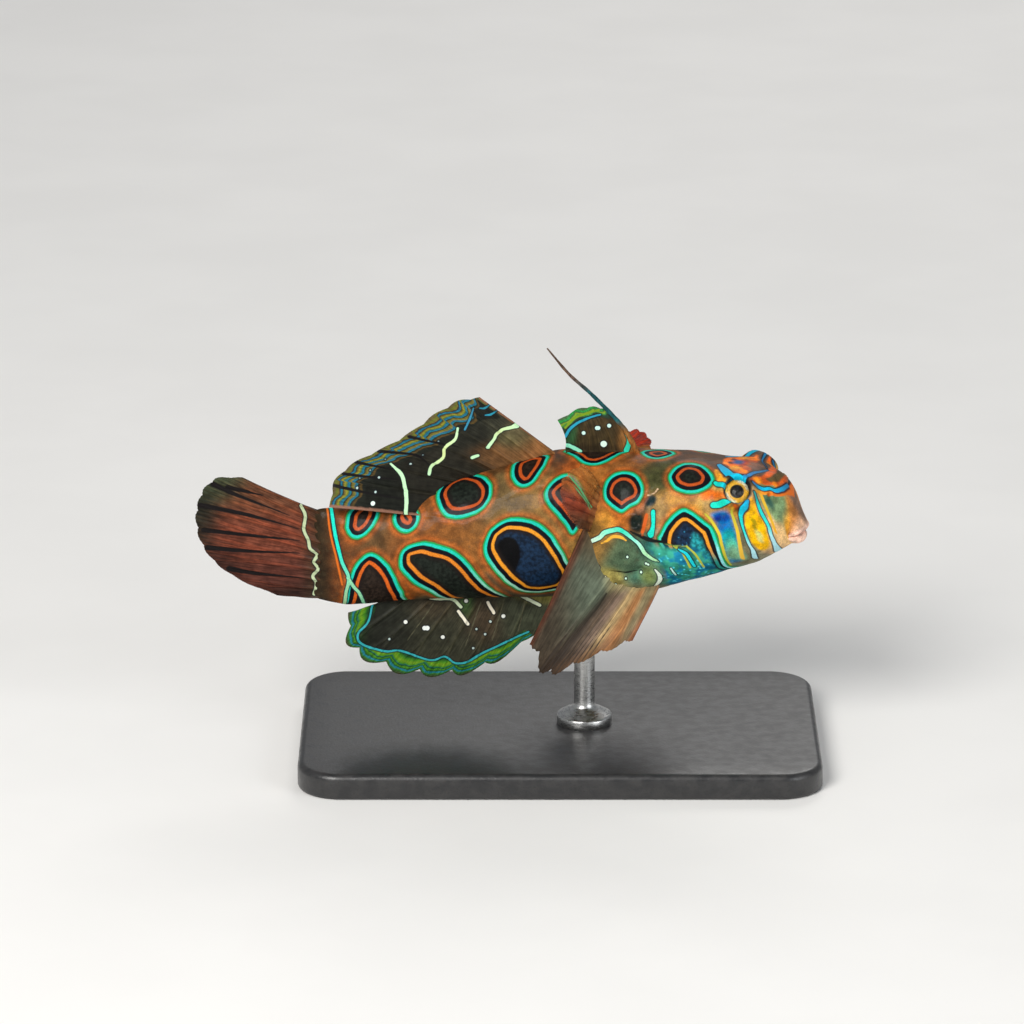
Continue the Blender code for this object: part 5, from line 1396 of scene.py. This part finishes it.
# %% [markdown]
# ## The breast fins
# The breast fins are the fish's oars, and are thin enough to see the skin through. Their webs are
# therefore part transparent between rays that stay solid, and solid at the root. The near one fans out
# behind the gill, and the far one stands up beyond the back. They are painted in their own measures:
# across the rays, and out along them.

# %% Breast fins
PECTORAL_TIPS = ((2.5, -9.4, 37.4), (1.1, -10.1, 36.9), (0.1, -10.6, 35.9), (-0.1, -10.9, 34.5),
                 (0.2, -11.0, 32.9), (0.9, -10.9, 31.4), (1.9, -10.4, 30.0))
FAR_PECTORAL_TIPS = ((10.7, 8.0, 33.4), (10.7, 9.0, 34.4), (10.0, 9.9, 35.1), (9.0, 10.4, 35.4),
                     (7.7, 10.6, 35.0), (6.4, 10.6, 34.0), (5.4, 10.3, 32.5))
SPREAD = np.array((2.4, 13.0))


def spread(*pairs):
    """Ray numbers and shares of length, in the millimetres in which paired fins are painted."""
    return [tuple(np.array(pair) * SPREAD) for pair in pairs]


def spread_patches(patches):
    """Patches of colour given by ray number and share of length, in the same millimetres."""
    return [(np.array(middle) * SPREAD, np.array(reach) * SPREAD, tint)
            for middle, reach, tint in patches.values()]


PECTORAL_GROUND = {
    "front": ((0.6, 0.5), (1.0, 0.5), (0.42, 0.16, 0.035)),
    "green side": ((2.0, 0.5), (0.6, 0.5), (0.34, 0.12, 0.03)),
    "middle": ((3.4, 0.6), (0.9, 0.5), (0.26, 0.05, 0.022)),
    "low": ((5.2, 0.6), (0.9, 0.5), (0.12, 0.045, 0.022)),
    "root": ((3, 0.0), (4, 0.14), (0.30, 0.12, 0.04)),
}
FAR_GROUND = {
    "web": ((3.5, 0.5), (3, 0.6), (0.42, 0.035, 0.012)),
    "leading edge": ((0.0, 0.5), (0.4, 0.6), (0.52, 0.33, 0.06)),
    "tips": ((3.5, 1.0), (3, 0.12), (0.30, 0.025, 0.012)),
}
GREEN_STREAKS = (
    (((1.5, 0.9), (1.75, 0.7), (2.1, 0.5), (2.6, 0.3), (3.1, 0.14)), (0.1, 0.2, 0.22, 0.2)),
    (((2.0, 0.72), (2.3, 0.54), (2.8, 0.33), (3.4, 0.16)), (0.05, 0.16, 0.16, 0.12)),
)
oar_look = fin_look("breast fin web", (0.6, 0.5, 0.5), 0.8, streak=(0.7, 1.15), clear=0.4, fineness=0.5)
far_look = fin_look("far breast fin web", (1.4, 1.3, 1.1), 0.8, streak=(0.5, 1.1), clear=0.8)
for name, side, tips, patches, look in (("right", 1, PECTORAL_TIPS, PECTORAL_GROUND, oar_look),
                                        ("left", -1, FAR_PECTORAL_TIPS, FAR_GROUND, far_look)):
    stations, angles = np.linspace(4.9, 3.6, len(tips)), np.radians(np.linspace(50, 84, len(tips)))
    roots = [body_place(x, side * a)[0] for x, a in zip(stations, angles)]
    form = fin_form(roots, tips, (0.3, -0.5 * side, 0.2), 0.05, 1.0, web=0.1, ray_size=0.13,
                    forks=(0.35, 0.9), columns=22, rows=84, fray=0.01)
    places = seen_spread(form) * SPREAD
    paint = fresh_paint(places, spread_patches(patches), ("thread", "line"))
    if side > 0:
        for knots, width in GREEN_STREAKS:
            lay_line(paint, places, "thread", spread(*knots), width, (0.08, 0.36, 0.15))
    ray, share = form["ray"].ravel(), form["share"].ravel()
    on_rays = 0.75 * smooth_step(form["ridge"].ravel(), 0.3, 1.0) * smooth_step(-share, -1.0, -0.75)
    low_rays = 0.86 * smooth_step(ray, 2.2, 3.6) * smooth_step(-share, -1.0, -0.85)
    at_root, on_streaks = smooth_step(-share, -0.3, -0.05), smooth_step(paint["thread"], -0.1, 0.05)
    paint["solid"] = np.maximum.reduce([on_rays, low_rays, at_root, on_streaks])
    make_fin(f"pectoral_{name}_web", form, look, f"pectoral_fin_{name}", paint)

# %% [markdown]
# ## The pelvic fins
# The fish perches on its broad pelvic fins. They sweep down and back like half-open fans, pale orange
# streaked along the rays. The dark lines in their creases are painted shade, and so is the darkest web
# near the fold toward the rear; the free rear edge itself is dark red. The far one mirrors the near one,
# a little higher.

# %% Pelvic fins
PELVIC_ROOTS = ((11.8, -5.4, 22.6), (10.2, -5.8, 22.1), (8.8, -6.1, 22.0), (7.4, -6.4, 22.4),
                (5.8, -6.7, 23.4), (3.4, -6.7, 30.4))
PELVIC_TIPS = ((8.2, -10.6, 16.6), (5.8, -11.0, 15.6), (2.6, -11.0, 14.2), (-0.6, -10.4, 12.4),
               (-2.4, -9.6, 12.4), (-3.5, -9.0, 15.6))
PELVIC_GROUND = {
    "front edge": ((0.1, 0.8), (0.25, 0.4), (0.40, 0.13, 0.06)),
    "front": ((0.5, 0.5), (0.35, 0.5), (0.34, 0.28, 0.15)),
    "orange": ((1.3, 0.6), (0.35, 0.4), (0.54, 0.24, 0.09)),
    "peach": ((1.9, 0.4), (0.35, 0.35), (0.58, 0.41, 0.19)),
    "grey": ((2.45, 0.45), (0.3, 0.4), (0.30, 0.205, 0.15)),
    "brown": ((3.1, 0.45), (0.3, 0.4), (0.13, 0.092, 0.062)),
    # the darkest web, near the fold toward the rear, is painted shade
    "dark": ((3.65, 0.65), (0.25, 0.4), (0.045, 0.03, 0.02)),
    "sleeve": ((4.3, 0.15), (0.4, 0.35), (0.16, 0.20, 0.14)),
    "sleeve, low": ((4.4, 0.7), (0.4, 0.3), (0.08, 0.06, 0.04)),
    "low": ((1.7, 0.92), (1.4, 0.12), (0.20, 0.10, 0.045)),
    "root": ((2.6, 0.0), (1.6, 0.08), (0.54, 0.46, 0.22)),
    "tip": ((3.3, 0.92), (0.8, 0.2), (0.022, 0.017, 0.014)),
    "free edge": ((5.0, 0.5), (0.12, 0.6), (0.13, 0.04, 0.02)),
    "upper rear": ((4.7, 0.05), (0.3, 0.12), (0.12, 0.07, 0.03)),
}


def mirrored(places):
    """The same places on the body's other side: each moves across the axis by twice its distance from it.

    The section that a place belongs to is found in a few rounds, because the axis bends.
    """
    found = []
    for place in places:
        middle, right, _ = axis_frame(place[0])
        for _ in range(8):
            middle, right, _ = axis_frame(place[0] - right[0] * ((place - middle) @ right))
        found.append(place - 2 * ((place - middle) @ right) * right)
    return np.array(found)


pelvic_look = fin_look("pelvic web", (1.7, 1.65, 1.6), 0.6, streak=(0.4, 0.72), cloud=(0.86, 1.14))
for name, side in (("right", 1), ("left", -1)):
    roots, tips = np.array(PELVIC_ROOTS), np.array(PELVIC_TIPS)
    if side < 0:
        roots, tips = mirrored(roots), mirrored(tips) + (1.8, 0.6, 0.8)
    form = fin_form(roots, tips, (0, -0.9 * side, 0.2), 0.07, 1.2, web=0.2, ray_size=0.24, forks=(0.4, 0.7),
                    columns=24, rows=100, fray=0.015)
    places = seen_spread(form) * SPREAD
    paint = fresh_paint(places, spread_patches(PELVIC_GROUND), ("thread", "line"))
    # a dark line in the fold between the fin and its rear web: painted shade
    lay_line(paint, places, "thread", spread((3.68, 0.14), (3.58, 0.27), (3.60, 0.38)), (0.1, 0.16, 0.04),
             (0.02, 0.018, 0.012))
    # dark lines along the fan's creases: painted shade
    for ray in np.arange(1.85, 4.1, 0.24):
        crease_shade = spread((ray, 0.42 - 0.04 * ray), (ray + 0.03, 0.7), (ray, 0.97))
        lay_line(paint, places, "thread", crease_shade, (0.0, 0.05, 0.08, 0.05), (0.035, 0.026, 0.02))
    make_fin(f"pelvic_{name}_web", form, pelvic_look, f"pelvic_fin_{name}", paint)

# %% [markdown]
# ## The display stand
# The fish hovers in the photo, so the model needs a support that the real animal hasn't. A satin black
# plate with softly rounded corners and a thin steel rod up to the belly are plain enough to leave the eye
# on the fish.

# %% Base plate
BASE_SIZE, BASE_CORNER = (60.0, 36.0, 3.0), 5.0
corner_turn = np.linspace(0, math.pi / 2, 16)
quarter = np.stack([np.cos(corner_turn), np.sin(corner_turn)], 1)
sides = [(1, 1), (-1, 1), (-1, -1), (1, -1)]
EDGE_ROUND, FLAT_TOP_INSET = 0.8, 4.0
straight_top = BASE_SIZE[2] - EDGE_ROUND
EDGE_PROFILE = [(0.0, 0.4), (0.12, 0.12), (0.4, 0.0), (straight_top, 0.0)]
EDGE_PROFILE += [(straight_top + EDGE_ROUND * math.sin(a), EDGE_ROUND - EDGE_ROUND * math.cos(a))
                 for a in np.radians(np.arange(10, 91, 10))]
EDGE_PROFILE += [(BASE_SIZE[2], FLAT_TOP_INSET)]
loops = []
for height, inset in EDGE_PROFILE:
    corner = max(BASE_CORNER - inset, 1.0)
    loop = []
    for k, (sx, sy) in enumerate(sides):
        arc = quarter if k % 2 == 0 else quarter[::-1]
        middle = np.array((sx * (BASE_SIZE[0] / 2 - inset - corner),
                           sy * (BASE_SIZE[1] / 2 - inset - corner)))
        loop.append(middle + arc * corner * (sx, sy))
    loop = np.concatenate(loop)
    loops.append(np.column_stack([loop, np.full(len(loop), height)]))
loops = np.stack(loops)
points = np.concatenate([loops.reshape(-1, 3), [(0, 0, 0.0), (0, 0, BASE_SIZE[2])]])
plate_look, tree, shader = new_look("satin black plate", 0.4, Coat_Weight=0.3, Coat_Roughness=0.3)
cast = grain(tree, 1.1, 6.0, stretch=(0.8, 1.0, 1.0))
pores = grain(tree, 0.25, 2.0, stretch=(0.8, 1.0, 1.0))
colour = cover(tree, (0.013, 0.013, 0.014), (0.024, 0.023, 0.023), step_between(tree, cast, 0.35, 0.68))
colour = cover(tree, colour, (0.007, 0.007, 0.007), step_between(tree, pores, 0.56, 0.66, 0.0, 0.5))
tree.links.new(colour, shader.inputs["Base Color"])
tree.links.new(step_between(tree, cast, 0.3, 0.7, 0.34, 0.52), shader.inputs["Roughness"])
raise_by(tree, shader, pores, 0.03)
make_piece("display_base", points, capped_faces(*loops.shape[:2]), plate_look, ("stand_base",))

# %% Rod
ROD_X = 2.9
rod_foot = np.array((ROD_X, float(axis_y(ROD_X)), 0.0))
ROD_RADIUS = 1.2
ROD_PROFILE = [(0.0, 2.9), (3.0, 2.9), (3.2, 3.0), (3.2, 3.95), (3.12, 4.08), (2.95, 4.15), (2.4, 4.5),
               (1.6, 4.85), (1.32, 5.1), (ROD_RADIUS, 5.5)]
ROD_PROFILE += [(ROD_RADIUS, z) for z in np.linspace(6, 18, 13)]
ROD_PROFILE += [(ROD_RADIUS, 19.6), (0.9, 19.9), (0.0, 20.0)]
points, faces, _, _ = turned(rod_foot, (0, 0, 1), ROD_PROFILE, 64)
steel_look, tree, shader = new_look("brushed steel", 0.3, Metallic=1.0)
brushed = grain(tree, 0.6, 5.0, stretch=(1.0, 1.0, 6.0))
colour = shade(tree, (0.56, 0.56, 0.55), brushed, 0.85, 1.1)
tree.links.new(colour, shader.inputs["Base Color"])
tree.links.new(step_between(tree, brushed, 0.3, 0.7, 0.24, 0.42), shader.inputs["Roughness"])
raise_by(tree, shader, brushed, 0.01)
make_piece("display_rod", points, faces, steel_look, ("stand_rod",))

# %% [markdown]
# ## Floor, light and camera
# A pale floor and soft light let the colours speak. The main light stands up and to the left in front, as
# the photo's highlights show, with a weaker one on the right and one behind for the outline. The camera
# looks down a little, from the photo's direction, and is far enough away to keep the fish's proportions.

# %% Floor
floor_mesh = bpy.data.meshes.new("floor")
FLOOR = 2.0
floor_corners = [(-FLOOR, -FLOOR, 0), (FLOOR, -FLOOR, 0), (FLOOR, FLOOR, 0), (-FLOOR, FLOOR, 0)]
floor_mesh.from_pydata(floor_corners, [], [(0, 1, 2, 3)])
floor = bpy.data.objects.new("floor", floor_mesh)
bpy.context.scene.collection.objects.link(floor)
paper_look, tree, shader = new_look("pale paper", 0.85, Specular_IOR_Level=0.2)
tree.links.new(shade(tree, (0.88, 0.87, 0.85), grain(tree, 30, 3.0), 0.985, 1.015),
               shader.inputs["Base Color"])
floor_mesh.materials.append(paper_look)
print("floor", 2 * FLOOR, "metres wide")

# %% Lights and camera
AIM = np.array((-5.5, 0.0, 28.6)) * MM


def face_to(thing, target):
    """Turns an object so that its view direction points at the target."""
    away = thing.location - type(thing.location)(target)
    thing.rotation_euler = away.to_track_quat("Z", "Y").to_euler()


def add_light(name, place, size, power, tint):
    """A round soft light of some metres and watts, turned to the middle of the fish."""
    lamp = bpy.data.lights.new(name, "AREA")
    lamp.shape, lamp.size, lamp.energy, lamp.color = "DISK", size, power, tint
    light = bpy.data.objects.new(name, lamp)
    light.location = place
    bpy.context.scene.collection.objects.link(light)
    face_to(light, tuple(AIM))


add_light("main light", (-0.26, -0.46, 0.4), 0.3, 4.0, (1.0, 0.98, 0.95))
add_light("side light", (0.5, -0.4, 0.2), 0.4, 1.5, (0.95, 0.98, 1.0))
add_light("rim light", (0.1, 0.5, 0.42), 0.3, 0.9, (1.0, 0.98, 0.95))
world = bpy.data.worlds.new("soft room")
world.use_nodes = True
world.node_tree.nodes["Background"].inputs[0].default_value = (0.85, 0.88, 0.92, 1.0)
world.node_tree.nodes["Background"].inputs[1].default_value = 0.3
bpy.context.scene.world = world
bpy.context.scene.view_settings.view_transform = "Standard"

camera = bpy.data.objects.new("camera", bpy.data.cameras.new("camera"))
camera.data.lens, camera.data.sensor_width = 200.0, 36.0
DISTANCE, RISE = 0.654, math.radians(18)
camera.location = tuple(AIM + DISTANCE * np.array((0.0, -math.cos(RISE), math.sin(RISE))))
camera.data.clip_start = 0.01
bpy.context.scene.collection.objects.link(camera)
face_to(camera, tuple(AIM))
bpy.context.scene.camera = camera
print("camera", [round(v, 4) for v in camera.location])
